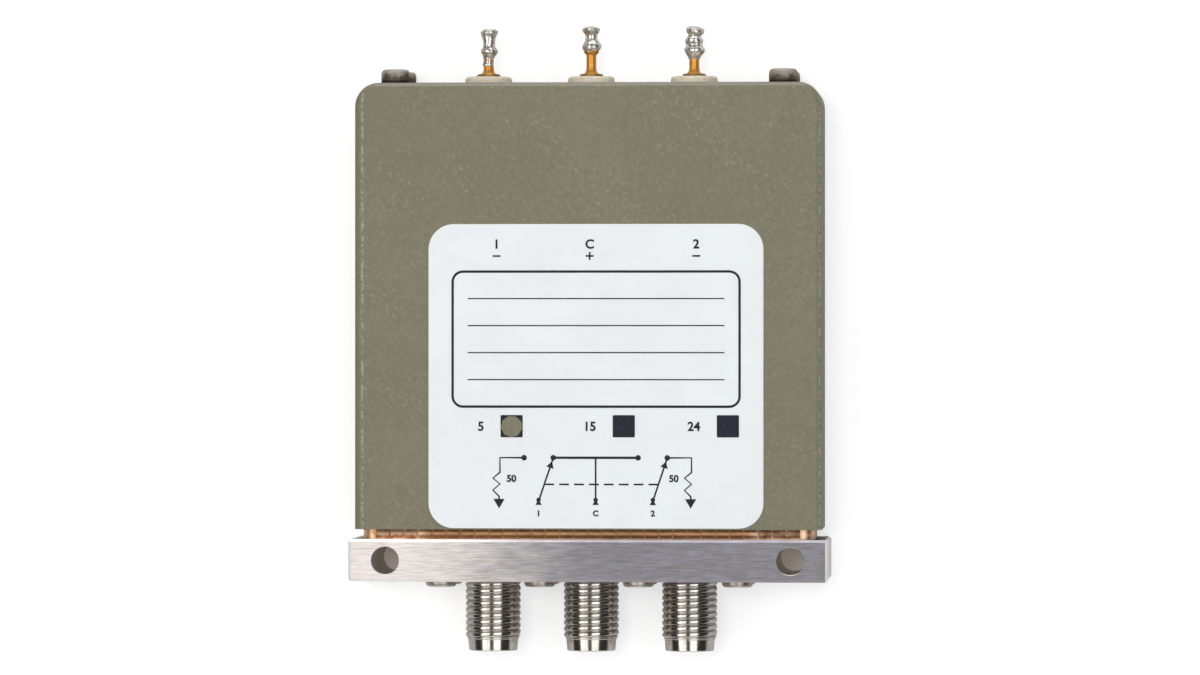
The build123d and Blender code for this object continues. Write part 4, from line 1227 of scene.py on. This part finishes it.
@dataclass
class SolderTerminals:
    """Three insulated turret terminals on top, each with the solder left on it."""

    # Rings of a post: radius and height over the bushing.
    turret: tuple[Ring, ...] = ring_stack(
        (0.565, 0.01), (1.28, 0.01), (1.32, 0.06), (1.32, 0.2), (1.26, 0.27), (0.78, 0.36),
        (0.63, 0.62), (0.565, 1.0), (0.565, 2.45), (0.78, 2.66), (0.86, 2.74), (0.86, 3.1),
        (0.78, 3.2), (0.52, 3.5), (0.52, 4.6), (0.76, 4.9), (0.86, 4.98), (0.86, 5.2),
        (0.78, 5.28), (0.4, 5.34),
    )
    tail_chamfer: float = 0.08
    tail_edge: float = 0.1
    post_sides: int = 40
    # Rings of solder: radius, height over the bushing and shift sideways.
    solder: dict[str, tuple[Ring, ...]] = field(
        default_factory=lambda: {
            "1": ring_stack(
                (0.57, 1.18, -0.02), (0.66, 1.36, -0.07), (0.58, 1.52, -0.01), (0.55, 1.93, 0.0),
                (0.63, 2.34, 0.02), (0.88, 2.72, 0.04), (0.95, 2.95, 0.04), (0.80, 3.22, 0.0),
                (0.67, 3.49, -0.01), (0.72, 3.94, 0.02), (0.75, 4.34, 0.0), (0.88, 4.69, -0.02),
                (1.02, 4.94, 0.0), (1.04, 5.15, 0.03), (0.86, 5.37, 0.02), (0.40, 5.44, 0.0),
            ),
            "common": ring_stack(
                (0.57, 2.35, 0.0), (0.68, 2.7, 0.0), (1.0, 3.05, 0.04), (1.16, 3.3, 0.02),
                (1.1, 3.62, 0.08), (0.86, 3.95, 0.12), (0.68, 4.3, 0.03), (0.66, 4.66, 0.0),
                (0.84, 4.98, -0.02), (1.09, 5.18, -0.02), (1.12, 5.42, 0.0), (0.9, 5.58, 0.02),
                (0.42, 5.62, 0.0),
            ),
            "2": ring_stack(
                (0.57, 1.85, 0.0), (0.70, 2.25, 0.02), (1.0, 2.6, 0.04), (1.18, 2.9, 0.03),
                (1.16, 3.16, 0.0), (0.92, 3.46, 0.02), (0.90, 3.7, 0.04), (1.07, 3.96, 0.02),
                (1.02, 4.26, -0.02), (0.74, 4.54, 0.0), (0.80, 4.76, 0.04), (1.05, 5.0, 0.06),
                (1.10, 5.28, 0.02), (0.92, 5.52, 0.02), (0.42, 5.62, 0.04),
            ),
        }
    )
    solder_sides: int = 20
    solder_smoothing: int = 2
    lump_size: float = 1.15
    lump_strength: float = 0.22
    lump_level: float = 0.45
    # How far each top leans over, and from what height.
    tilt_degrees: dict[str, float] = field(
        default_factory=lambda: {"1": 0.0, "common": -2.0, "2": 7.0}
    )
    tilt_from: float = 4.6

    def foot(self, mark: str) -> Vector:
        """Middle of a bushing's top face."""
        bushing = Span.of(f"terminal_bushing_{mark}")
        return Vector((bushing.middle.x, bushing.high.y, bushing.middle.z))

    def post(self, mark: str) -> Piece:
        """Turn the gilded post of a terminal.

        Args:
            mark: The terminal's mark.

        Returns:
            The post, from its tail under the board to its top flange.
        """
        base = self.foot(mark)
        end = Span.of(f"terminal_post_{mark}").low.y - base.y
        radius = self.turret[0].radius
        tail = ring_stack((radius - self.tail_chamfer, end), (radius, end + self.tail_edge))
        return turned(f"turret_post_{mark}", base, (*tail, *self.turret), self.post_sides)

    def blob(self, mark: str) -> Piece:
        """Shape the solder of a terminal.

        Args:
            mark: The terminal's mark.

        Returns:
            The lumpy piece round the post.
        """
        base = self.foot(mark)
        piece = turned(f"turret_solder_{mark}", base, self.solder[mark], self.solder_sides)
        smoothing = self.solder_smoothing
        modify(piece, "SUBSURF", levels=smoothing, render_levels=smoothing)
        lumps = bpy.data.textures.new(f"solder_lumps_{mark}", "CLOUDS")
        lumps.noise_scale = self.lump_size * MM
        lumps.noise_depth = 0
        modify(
            piece, "DISPLACE", texture=lumps, texture_coords="LOCAL",
            strength=self.lump_strength * MM, mid_level=self.lump_level,
        )
        lean = math.radians(self.tilt_degrees[mark])
        centre = (base + Vector((0, self.tilt_from, 0))) * MM
        with editing(piece):
            pick(piece, Pick.VERTICES, lambda place: place.y - base.y > self.tilt_from)
            bpy.ops.transform.rotate(value=lean, orient_axis="Z", center_override=centre)
        return piece

    def build(self) -> None:
        """Build the three terminals."""
        for mark in self.solder:
            mount_piece(self.post(mark), TURRET_GOLD, replaces=[f"terminal_post_{mark}"])
            mount_piece(self.blob(mark), TIN)
            dress_node(f"terminal_bushing_{mark}", BUSHING_RESIN)


@dataclass
class FaceLabel:
    """White label on the can, with plain marks and a drawing of the contacts."""

    ink: float = 0.03
    line: float = 0.28
    thin: float = 0.20
    hairline: float = 0.14
    cap: float = 1.0
    ohms_cap: float = 0.75
    port_cap: float = 0.62
    # Height of a figure as a share of its font's size, and how much bolder it is drawn.
    figure_share: float = 0.7
    swell: float = 0.04
    line_facets: int = 2
    dot_segments: int = 20
    dot_rings: int = 8
    port_marks: tuple[str, ...] = ("1", "C", "2")
    mark_row: float = 35.66
    sign_row: float = 34.3
    sign_half: float = 0.45
    mark_places: tuple[float, ...] = (-10.24, 0.28, 12.27)
    box_left: float = -15.2
    box_right: float = 17.15
    box_low: float = 17.35
    box_high: float = 32.55
    box_corner: float = 1.15
    corner_steps: int = 6
    rules: int = 4
    rule_inset: float = 1.7
    square: float = 2.5
    square_corner: float = 0.12
    square_facets: int = 3
    square_row: float = 15.15
    square_places: tuple[float, ...] = (-8.53, 4.12, 15.84)
    numbers: tuple[str, ...] = ("5", "15", "24")
    number_gap: float = 3.12
    window_radius: float = 1.22
    window_sides: int = 9
    window_turn: float = 0.3
    window_drop: float = 0.03
    diagram_middle: float = 0.95
    inner_contact: float = 4.78
    outer_contact: float = 8.07
    arm_foot: float = 6.44
    load_place: float = 10.8
    # Corners of a load: how far beside its place, and height on the label.
    zigzag: tuple[tuple[float, float], ...] = (
        (0.0, 9.95), (-0.8, 9.3), (0.0, 8.65), (-0.8, 7.95), (-0.1, 7.25), (-0.1, 6.6)
    )
    ohms: str = "50"
    ohms_row: float = 9.28
    ohms_aside: tuple[float, float] = (1.3, -2.0)
    bar_row: float = 11.6
    link_row: float = 8.6
    arrow_row: float = 6.7
    port_row: float = 5.35
    dashes: int = 8
    dash_drawn: float = 0.66
    contact_dot: float = 0.32
    port_dot: float = 0.26
    port_dot_rise: float = 0.15
    ground_arrow: float = 0.72
    arm_arrow: float = 0.5
    arm_arrow_share: float = 0.82
    port_arrow: float = 0.42
    port_arrow_drop: float = 0.2

    def surface(self, x: float, y: float, lift: float = 0.0) -> Vector:
        """Point on the label's face in metres."""
        return Vector((x, y, Span.of("face_label").high.z + lift)) * MM

    def stroke(self, points: Sequence[tuple[float, float]], width: float) -> Piece:
        """Draw a line of ink.

        Args:
            points: Its corners on the label.
            width: Its width.

        Returns:
            The line, a flat rib of ink.
        """
        deselect()
        bpy.ops.mesh.primitive_plane_add(size=width * MM, location=self.surface(*points[0]))
        piece = adopt("stroke")
        with editing(piece):
            bpy.ops.mesh.merge(type="CENTER")
            for here, there in zip(points, points[1:]):
                step = self.surface(*there) - self.surface(*here)
                bpy.ops.mesh.extrude_region_move(TRANSFORM_OT_translate={"value": step})
        bpy.ops.object.convert(target="CURVE")
        curve = bpy.context.object.data
        curve.bevel_depth = width / 2 * MM
        curve.bevel_resolution = self.line_facets
        curve.use_fill_caps = True
        bpy.ops.object.convert(target="MESH")
        return self.flatten(bpy.context.object, width)

    def flatten(self, piece: Piece, height: float) -> Piece:
        """Press a piece down to the thickness of the ink.

        Args:
            piece: Ink that stands up to half its height over the label.
            height: Its full height.

        Returns:
            The piece.
        """
        pressed = (1, 1, 2 * self.ink / height)
        with editing(piece):
            bpy.ops.transform.resize(value=pressed, center_override=self.surface(0, 0))
        return piece

    def dot(self, x: float, y: float, radius: float) -> Piece:
        """Print a round dot.

        Args:
            x: Place of its middle along X.
            y: Place of its middle along Y.
            radius: Its radius.

        Returns:
            The dot.
        """
        deselect()
        bpy.ops.mesh.primitive_uv_sphere_add(
            segments=self.dot_segments,
            ring_count=self.dot_rings,
            radius=radius * MM,
            location=self.surface(x, y),
        )
        return self.flatten(adopt("dot"), 2 * radius)

    def arrow(self, x: float, y: float, size: float, heading: float) -> Piece:
        """Print a filled triangle.

        Args:
            x: Place of its middle along X.
            y: Place of its middle along Y.
            size: Radius round its corners.
            heading: Where it points, in degrees from +X.

        Returns:
            The triangle.
        """
        deselect()
        bpy.ops.mesh.primitive_cylinder_add(
            vertices=3,
            radius=size * MM,
            depth=2 * self.ink * MM,
            location=self.surface(x, y),
            rotation=(0, 0, math.radians(heading - 90)),
        )
        return adopt("arrow")

    def plate(self, x: float) -> Piece:
        """Print a filled square with slightly round corners.

        Args:
            x: Place of its middle along X.

        Returns:
            The square.
        """
        y, side = self.square_row, self.square

        def upright(place: Vector) -> bool:
            """Tell whether an edge stands at a corner, which lies further out than a side."""
            return abs(place.x - x) + abs(place.y - y) > 0.75 * side

        deselect()
        bpy.ops.mesh.primitive_cube_add(size=side * MM, location=self.surface(x, y))
        piece = adopt("plate")
        with editing(piece):
            pick(piece, Pick.EDGES, upright)
            bpy.ops.mesh.bevel(offset=self.square_corner * MM, segments=self.square_facets)
        return self.flatten(piece, side)

    def text(
        self, words: str, x: float, y: float, height: float, align: Align = Align.CENTRE
    ) -> Piece:
        """Print a number or a sign.

        Args:
            words: What it says.
            x: Place of its middle or its end along X.
            y: Place of its middle along Y.
            height: Height of its figures.
            align: Which part of it stands at x.

        Returns:
            The figures as a raised mesh.
        """
        deselect()
        bpy.ops.object.text_add(location=self.surface(x, y - height / 2))
        writing = bpy.context.object.data
        writing.body = words
        writing.size = height / self.figure_share * MM
        writing.align_x = align.value
        writing.extrude = self.ink * MM
        writing.offset = self.swell * MM
        bpy.ops.object.convert(target="MESH")
        return adopt("figures")

    def marks(self) -> list[Piece]:
        """Print the marks of the terminals and the signs below them.

        Returns:
            The marks and the strokes of the signs.
        """
        row, half = self.sign_row, self.sign_half
        pieces = []
        for x, mark in zip(self.mark_places, self.port_marks):
            pieces.append(self.text(mark, x, self.mark_row, self.cap))
            pieces.append(self.stroke([(x - half, row), (x + half, row)], self.thin))
        x = self.mark_places[1]
        pieces.append(self.stroke([(x, row - half), (x, row + half)], self.thin))
        return pieces

    def frame_box(self) -> list[Piece]:
        """Print the rounded box and the writing lines in it.

        Returns:
            The box and its lines.
        """
        left, right, low, high = self.box_left, self.box_right, self.box_low, self.box_high
        radius = self.box_corner
        centres = (
            (right - radius, high - radius), (left + radius, high - radius),
            (left + radius, low + radius), (right - radius, low + radius),
        )
        outline = []
        for quarter, (x, y) in enumerate(centres):
            for step in range(self.corner_steps + 1):
                turn = math.radians(90 * (quarter + step / self.corner_steps))
                outline.append((x + radius * math.cos(turn), y + radius * math.sin(turn)))
        pieces = [self.stroke([*outline, outline[0]], self.line)]
        for rule in range(1, self.rules + 1):
            y = high - rule * (high - low) / (self.rules + 1)
            ends = [(left + self.rule_inset, y), (right - self.rule_inset, y)]
            pieces.append(self.stroke(ends, self.hairline))
        return pieces

    def choices(self) -> list[Piece]:
        """Print the three squares and the number before each.

        Returns:
            The squares and numbers.
        """
        pieces = []
        for x, number in zip(self.square_places, self.numbers):
            place = x - self.number_gap
            pieces.append(self.plate(x))
            pieces.append(self.text(number, place, self.square_row, self.cap, Align.RIGHT))
        return pieces

    def load(self, side: int) -> list[Piece]:
        """Draw a load resistor down to its ground arrow.

        Args:
            side: -1 at the left, 1 at the right.

        Returns:
            Its strokes, arrow and number.
        """
        x = self.diagram_middle + side * self.load_place
        contact = self.diagram_middle + side * self.outer_contact
        corners = [(x + aside, y) for aside, y in self.zigzag]
        beside = x + self.ohms_aside[side > 0]
        return [
            self.stroke([(contact, self.bar_row), (x, self.bar_row), *corners], self.thin),
            self.arrow(*corners[-1], self.ground_arrow, -90),
            self.text(self.ohms, beside, self.ohms_row, self.ohms_cap),
        ]

    def link(self) -> list[Piece]:
        """Draw the dashed link between the two arms.

        Returns:
            Its dashes.
        """
        middle, foot, row = self.diagram_middle, self.arm_foot, self.link_row
        height = (row - self.arrow_row) / (self.bar_row - self.arrow_row)
        start = middle - foot + height * (foot - self.inner_contact)
        end = middle + foot + height * (self.outer_contact - foot)
        step = (end - start) / (self.dashes - 1 + self.dash_drawn)
        dash = step * self.dash_drawn
        starts = [start + index * step for index in range(self.dashes)]
        return [self.stroke([(x, row), (x + dash, row)], self.thin) for x in starts]

    def diagram(self) -> list[Piece]:
        """Draw the contacts: a bar, two arms that one link moves, and two loads.

        Returns:
            The strokes, dots, arrows and figures.
        """
        middle, inner, outer = self.diagram_middle, self.inner_contact, self.outer_contact
        left, right = middle - self.arm_foot, middle + self.arm_foot
        bar, low = self.bar_row, self.arrow_row
        pieces = [
            self.stroke([(middle - inner, bar), (middle + inner, bar)], self.line),
            self.stroke([(middle, bar), (middle, low)], self.thin),
        ]
        for x in (-outer, -inner, inner, outer):
            pieces.append(self.dot(middle + x, bar, self.contact_dot))
        for foot, tip in ((left, middle - inner), (right, middle + outer)):
            arm = Vector((tip - foot, bar - low))
            place = Vector((foot, low)) + arm * self.arm_arrow_share
            heading = math.degrees(math.atan2(arm.y, arm.x))
            pieces.append(self.stroke([(foot, low), (tip, bar)], self.thin))
            pieces.append(self.arrow(place.x, place.y, self.arm_arrow, heading))
        for x, mark in zip((left, middle, right), self.port_marks):
            pieces.append(self.arrow(x, low - self.port_arrow_drop, self.port_arrow, 90))
            pieces.append(self.dot(x, low + self.port_dot_rise, self.port_dot))
            pieces.append(self.text(mark, x, self.port_row, self.port_cap))
        return pieces + self.link() + self.load(-1) + self.load(1)

    def window(self) -> Piece:
        """Make the rough hole punched in the first square, where the can's paint shows.

        Returns:
            The patch of paint in the hole.
        """
        x, y = self.square_places[0], self.square_row - self.window_drop
        deselect()
        bpy.ops.mesh.primitive_cylinder_add(
            vertices=self.window_sides,
            radius=self.window_radius * MM,
            depth=2 * self.ink * MM,
            location=self.surface(x, y, self.ink / 2),
            rotation=(0, 0, self.window_turn),
        )
        return adopt("label_window")

    def build(self) -> None:
        """Dress the label and print it."""
        dress_node("face_label", FILM)
        prints = {
            "label_marks": self.marks(),
            "label_box": self.frame_box(),
            "label_choices": self.choices(),
            "label_diagram": self.diagram(),
        }
        for name, pieces in prints.items():
            mount_piece(joined(name, pieces), INK)
        mount_piece(self.window(), PAINT)


@dataclass
class FingerStrip:
    """Copper strip between can and head: a closed band with bowed fingers all round."""

    pitch: float = 1.6
    slot: float = 0.15
    wall: float = 0.12
    corner: float = 1.4
    bow: float = 0.25
    lifted_bow: float = 0.45
    lifted_from: float = 18.8
    steps: int = 6
    corner_segments: int = 6

    def band(self, name: str, half_x: float, half_z: float) -> Piece:
        """Bend the band that carries the fingers.

        Args:
            name: Name of the piece.
            half_x: Half its length.
            half_z: Half its depth.

        Returns:
            The closed band.
        """
        span = Span.of("finger_strip")
        foot = Vector((0, span.low.y, MIDDLE.z))
        deselect()
        bpy.ops.mesh.primitive_plane_add(
            size=2 * MM, location=foot * MM, rotation=(math.pi / 2, 0, 0)
        )
        bpy.context.object.scale = (half_x, half_z, 1)
        piece = adopt(name)
        with editing(piece):
            bpy.ops.mesh.bevel(
                offset=self.corner * MM, segments=self.corner_segments, affect="VERTICES"
            )
            bpy.ops.mesh.select_all(action="SELECT")
            bpy.ops.mesh.delete(type="ONLY_FACE")
            bpy.ops.mesh.select_all(action="SELECT")
            bpy.ops.mesh.extrude_region_move(
                TRANSFORM_OT_translate={"value": (0, span.size.y * MM, 0)}
            )
            bpy.ops.mesh.select_all(action="SELECT")
            bpy.ops.mesh.normals_make_consistent(inside=False)
        modify(piece, "SOLIDIFY", thickness=self.wall * MM, offset=-1.0)
        return piece

    def finger(self, name: str, bow: float, front: float) -> Piece:
        """Bend one finger at the middle of the front side.

        Args:
            name: Name of the piece.
            bow: How far it bows out of the band.
            front: Place of the band's front along Z.

        Returns:
            The finger.
        """
        span = Span.of("finger_strip")
        rise = span.size.y / (self.steps + 1)
        middle = Vector((0, span.low.y + rise / 2, front))
        swells = [bow * math.sin(math.pi * step / self.steps) for step in range(self.steps + 1)]
        deselect()
        bpy.ops.mesh.primitive_plane_add(size=MM, location=middle * MM)
        bpy.context.object.scale = (self.pitch - self.slot, rise, 1)
        piece = adopt(name)
        with editing(piece):
            pick(piece, Pick.EDGES, lambda place: place.y > span.low.y + 0.99 * rise)
            for before, swell in zip(swells, swells[1:]):
                step = (0, rise * MM, (swell - before) * MM)
                bpy.ops.mesh.extrude_region_move(TRANSFORM_OT_translate={"value": step})
        modify(piece, "SOLIDIFY", thickness=self.wall * MM, offset=0.0)
        return piece

    def turn(self, piece: Piece, degrees: float, move: Vector) -> Piece:
        """Turn a row about the strip's upright middle and move it.

        Args:
            piece: The row.
            degrees: How far it turns about Y.
            move: How far it moves afterwards, in millimetres.

        Returns:
            The row.
        """
        angle, centre = math.radians(degrees), Vector((0, 0, MIDDLE.z)) * MM
        with editing(piece):
            bpy.ops.transform.rotate(value=angle, orient_axis="Y", center_override=centre)
            bpy.ops.transform.translate(value=move * MM)
        return piece

    def row(self, name: str, length: float, front: float) -> Piece:
        """Set fingers side by side along the front.

        Args:
            name: Name of the row.
            length: Length to fill.
            front: Place of the band's front along Z.

        Returns:
            The row.
        """
        count = int(length / self.pitch)
        flat = self.finger(f"{name}_flat", self.bow, front)
        lifted = self.finger(f"{name}_lifted", self.lifted_bow, front)
        fingers = []
        for index in range(count):
            x = (index - (count - 1) / 2) * self.pitch
            pattern = lifted if abs(x) > self.lifted_from else flat
            fingers.append(copied(pattern, f"{name}_{index}", Vector((x, 0, 0))))
        for pattern in (flat, lifted):
            bpy.data.objects.remove(pattern)
        return joined(name, fingers)

    def build(self) -> None:
        """Build the band and its four rows of fingers."""
        span = Span.of("finger_strip")
        half_x, half_z = span.size.x / 2 - self.bow, span.size.z / 2 - self.bow
        front = MIDDLE.z + half_z
        long_row, short_row = 2 * (half_x - self.corner), 2 * (half_z - self.corner)
        pieces = [
            self.band("finger_band", half_x, half_z),
            self.row("finger_front", long_row, front),
            self.turn(self.row("finger_back", long_row, front), 180, Vector()),
        ]
        for name, side in (("finger_right", 1), ("finger_left", -1)):
            out = Vector((side * (half_x - half_z), 0, 0))
            pieces.append(self.turn(self.row(name, short_row, front), side * 90, out))
        mount_piece(joined("finger_stock", pieces), COPPER, replaces=["finger_strip"])


@dataclass
class ReturnSprings:
    """Wire spring under the head of each push rod, pressed as the rod goes in."""

    wire: float = 0.125
    turns: float = 3.5
    wire_sides: int = 10
    turn_steps: int = 24

    def wind(self, side: int) -> Piece:
        """Wind the spring of one rod.

        Args:
            side: 1 for the rod at the left, 2 for the one at the right.

        Returns:
            The closed coil of wire.
        """
        span = Span.of(f"return_spring_{side}")
        start = Vector((span.size.x / 2 - self.wire, span.low.y + self.wire, 0))
        steps = int(self.turns * self.turn_steps)
        deselect()
        bpy.ops.mesh.primitive_circle_add(
            vertices=self.wire_sides, radius=self.wire * MM, location=start * MM
        )
        spring = adopt(f"wire_spring_{side}")
        modify(
            spring, "SCREW", axis="Y", angle=2 * math.pi * self.turns, iterations=1,
            screw_offset=(span.size.y - 2 * self.wire) * MM, steps=steps, render_steps=steps,
        )
        with editing(spring):
            close_ends()
            bpy.ops.transform.translate(value=Vector((span.middle.x, 0, span.middle.z)) * MM)
        return spring

    def build(self) -> None:
        """Wind both springs. The first follows its rod out."""
        mount_piece(self.wind(1), SPRING_WIRE, "push_rod_1", ["return_spring_1"])
        pressed = self.wind(2)
        mount_piece(pressed, SPRING_WIRE, replaces=["return_spring_2"])
        span = Span.of("return_spring_2")
        slide = next(joint for joint in frame["joints"] if joint["name"] == "push_rod_2_slide")
        keep = 1 + slide["range_m"][0] / (span.size.y * MM)
        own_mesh(pressed)


@dataclass
class FinishedNodes:
    """Frame nodes that keep their shape and only get a finish."""

    nodes: dict[Finish, tuple[str, ...]]

    def build(self) -> None:
        """Dress every node."""
        for finish, names in self.nodes.items():
            for name in names:
                dress_node(name, finish)


@dataclass
class Casing(FinishedNodes):
    """Painted can with its screws, on the milled head."""

    nodes: dict[Finish, tuple[str, ...]] = field(
        default_factory=lambda: {
            PAINT: ("housing_cover",),
            COVER_SCREW_STEEL: ("cover_screws",),
            ALUMINIUM: ("rf_head",),
            PLATE: ("cavity_lid",),
            HEAD_SCREW_STEEL: ("head_screws",),
        }
    )


@dataclass
class Drive(FinishedNodes):
    """Everything under the can: contacts, rods, rocker, coils, magnet and board."""

    nodes: dict[Finish, tuple[str, ...]] = field(
        default_factory=lambda: {
            REED_GOLD: (
                "common_bar", "contact_reed_1", "contact_reed_2", "load_finger_1", "load_finger_2"
            ),
            CERAMIC: ("load_card_1", "load_card_2"),
            WHITE_RESIN: ("guide_bushes",),
            ROD: ("push_rod_1", "push_rod_2"),
            PLATED_IRON: ("rocker_armature", "centre_pole", "yoke"),
            GROUND_PIN: ("rocker_pin",),
            PLATE: ("rocker_bracket", "actuator_frame"),
            SMALL_SCREW_STEEL: ("bracket_screws", "yoke_screws", "board_screws"),
            CORE_IRON: ("core_1", "core_2"),
            NYLON: ("coil_bobbin_1", "coil_bobbin_2"),
            WIRE: ("coil_winding_1", "coil_winding_2"),
            MAGNET: ("permanent_magnet",),
            BOARD: ("terminal_board",),
            DIODE: ("suppression_diodes",),
            LEAD: ("coil_leads",),
        }
    )


# ------------------------------------------------------------------ studio


@dataclass(frozen=True)
class Lamp:
    """A soft rectangular lamp, in millimetres and watts."""

    name: str
    place: tuple[float, float, float]
    size: tuple[float, float]
    power: float
    colour: Colour = (1.0, 1.0, 1.0)
    mirrored: bool = True

    def hang(self, target: Vector) -> None:
        """Hang the lamp and point it at a target.

        Args:
            target: What it points at, in millimetres.
        """
        light = bpy.data.lights.new(self.name, "AREA")
        light.shape = "RECTANGLE"
        light.size, light.size_y = (length * MM for length in self.size)
        light.energy = self.power
        light.color = self.colour
        lamp = bpy.data.objects.new(self.name, light)
        bpy.context.scene.collection.objects.link(lamp)
        lamp.visible_glossy = self.mirrored
        lamp.location = Vector(self.place) * MM
        away = (lamp.location - target * MM).normalized()
        upright = (Vector((0, 1, 0)) - away * away.y).normalized()
        lamp.rotation_euler = Matrix((upright.cross(away), upright, away)).transposed().to_euler()


@dataclass
class Studio:
    """Pale floor, soft lamps and the camera."""

    lamps: tuple[Lamp, ...] = (
        Lamp("left_softbox", (-430.0, 30.0, 585.0), (270.0, 950.0), 1.65, (1.0, 0.985, 0.965)),
        Lamp("left_fill", (-225.0, 30.0, 690.0), (150.0, 950.0), 0.75, (1.0, 0.985, 0.965)),
        Lamp("right_softbox", (270.0, 30.0, 676.0), (420.0, 950.0), 2.15, (0.965, 0.98, 1.0)),
        Lamp("top_strip", (0.0, 660.0, 120.0), (620.0, 220.0), 1.8),
        Lamp("bottom_strip", (0.0, -660.0, 120.0), (620.0, 220.0), 0.8),
        Lamp("right_side", (650.0, 30.0, 230.0), (220.0, 600.0), 0.7, mirrored=False),
        Lamp("key", (-50.0, 85.0, 775.0), (150.0, 150.0), 1.6, mirrored=False),
    )
    target: tuple[float, float, float] = (1.43, 25.13, 13.8)
    distance: float = 700.0
    camera_side: float = 47.0
    view_width: float = 135.0
    sensor: float = 36.0
    floor_size: float = 6000.0
    floor_gap: float = 0.02
    floor_glow: float = 0.60
    floor_mirrored: float = 0.05
    floor_colour: float = 0.52
    floor_shade: Colour = (0.165, 0.140, 0.116)
    # How far inside the head's outline its shade on the floor is full, and how soft its edge is.
    shade_inset: float = 0.3
    shade_edge: float = 0.2
    # Height of a direction over the horizon, as its sine, and how bright the sky is there.
    sky: tuple[tuple[float, float], ...] = (
        (0.0, 0.32), (0.07, 0.16), (0.16, 0.03), (0.9, 0.045), (1.0, 0.08)
    )

    def floor(self) -> None:
        """Lay the floor under the part."""
        place = (0, 0, CAD_BOX[0].z - self.floor_gap * MM)
        deselect()
        bpy.ops.mesh.primitive_plane_add(size=self.floor_size * MM, location=place)
        floor = adopt("studio_floor")
        shader = Shader("studio_floor")
        path = shader.node("ShaderNodeLightPath")
        camera, mirrored, through = (
            Signal(shader, path.outputs[f"Is {kind} Ray"])
            for kind in ("Camera", "Glossy", "Transmission")
        )
        head = Span.of("rf_head")
        edge_x, edge_y = head.high.x - self.shade_inset, -head.low.y - self.shade_inset
        under = abs(shader.x).rise(edge_x, edge_x - self.shade_edge)
        under = under * abs(shader.y).rise(edge_y, edge_y - self.shade_edge)
        shown = shader.blend(under, (self.floor_glow,) * 3, self.floor_shade)
        reflected = shader.blend(under, (self.floor_mirrored,) * 3, self.floor_shade)
        glow = shader.blend(camera + through, (0.0, 0.0, 0.0), shown)
        glow = shader.blend(mirrored, glow, reflected)
        pale = (self.floor_colour,) * 3
        floor.data.materials.append(
            shader.dress(Base_Color=pale, Roughness=0.9, Emission_Color=glow, Emission_Strength=1.0)
        )
        floor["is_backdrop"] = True

    def build_sky(self) -> None:
        """Light the scene faintly from all round, with a dark belt below the lamps."""
        world = bpy.data.worlds.new("studio_sky")
        bpy.context.scene.world = world
        world.use_nodes = True
        tree = world.node_tree
        where = tree.nodes.new("ShaderNodeTexCoord")
        apart = tree.nodes.new("ShaderNodeSeparateXYZ")
        ramp = tree.nodes.new("ShaderNodeValToRGB")
        stops = ramp.color_ramp.elements
        stops[0].position, stops[-1].position = self.sky[0][0], self.sky[-1][0]
        for height, _ in self.sky[1:-1]:
            stops.new(height)
        for stop, (_, level) in zip(stops, self.sky):
            stop.color = (level, level, level, 1)
        background = tree.nodes["Background"]
        background.inputs["Color"].default_value = (1, 1, 1, 1)
        tree.links.new(where.outputs["Generated"], apart.inputs[0])
        tree.links.new(apart.outputs["Z"], ramp.inputs["Fac"])
        tree.links.new(ramp.outputs["Color"], background.inputs["Strength"])

    def camera(self) -> None:
        """Set the camera in front of the label, a little to its right."""
        data = bpy.data.cameras.new("camera")
        camera = bpy.data.objects.new("camera", data)
        bpy.context.scene.collection.objects.link(camera)
        away = Vector((self.camera_side, 0, self.distance))
        camera.location = (Vector(self.target) + away) * MM
        camera.rotation_euler = (0, math.atan2(self.camera_side, self.distance), 0)
        data.sensor_width = self.sensor
        data.lens = self.sensor * away.length / self.view_width
        data.clip_start = 0.01
        bpy.context.scene.camera = camera

    def build(self) -> None:
        """Build the studio."""
        self.floor()
        self.build_sky()
        for lamp in self.lamps:
            lamp.hang(Vector(self.target))
        self.camera()
        bpy.context.scene.view_settings.view_transform = "Standard"


def main() -> None:
    """Build every sub-assembly and the studio, and log the faces of each shown piece."""
    logging.basicConfig(level=logging.INFO, format="%(name)s: %(message)s")
    assemblies = (
        CoaxialPorts(), SolderTerminals(), FaceLabel(), FingerStrip(), Casing(), ReturnSprings(),
        Drive(), Studio(),
    )
    for assembly in assemblies:
        assembly.build()
        LOG.info("%s built", type(assembly).__name__)
    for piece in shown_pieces():
        LOG.info("%s: %d faces", piece.name, len(piece.data.polygons))


if __name__ == "__main__":
    main()
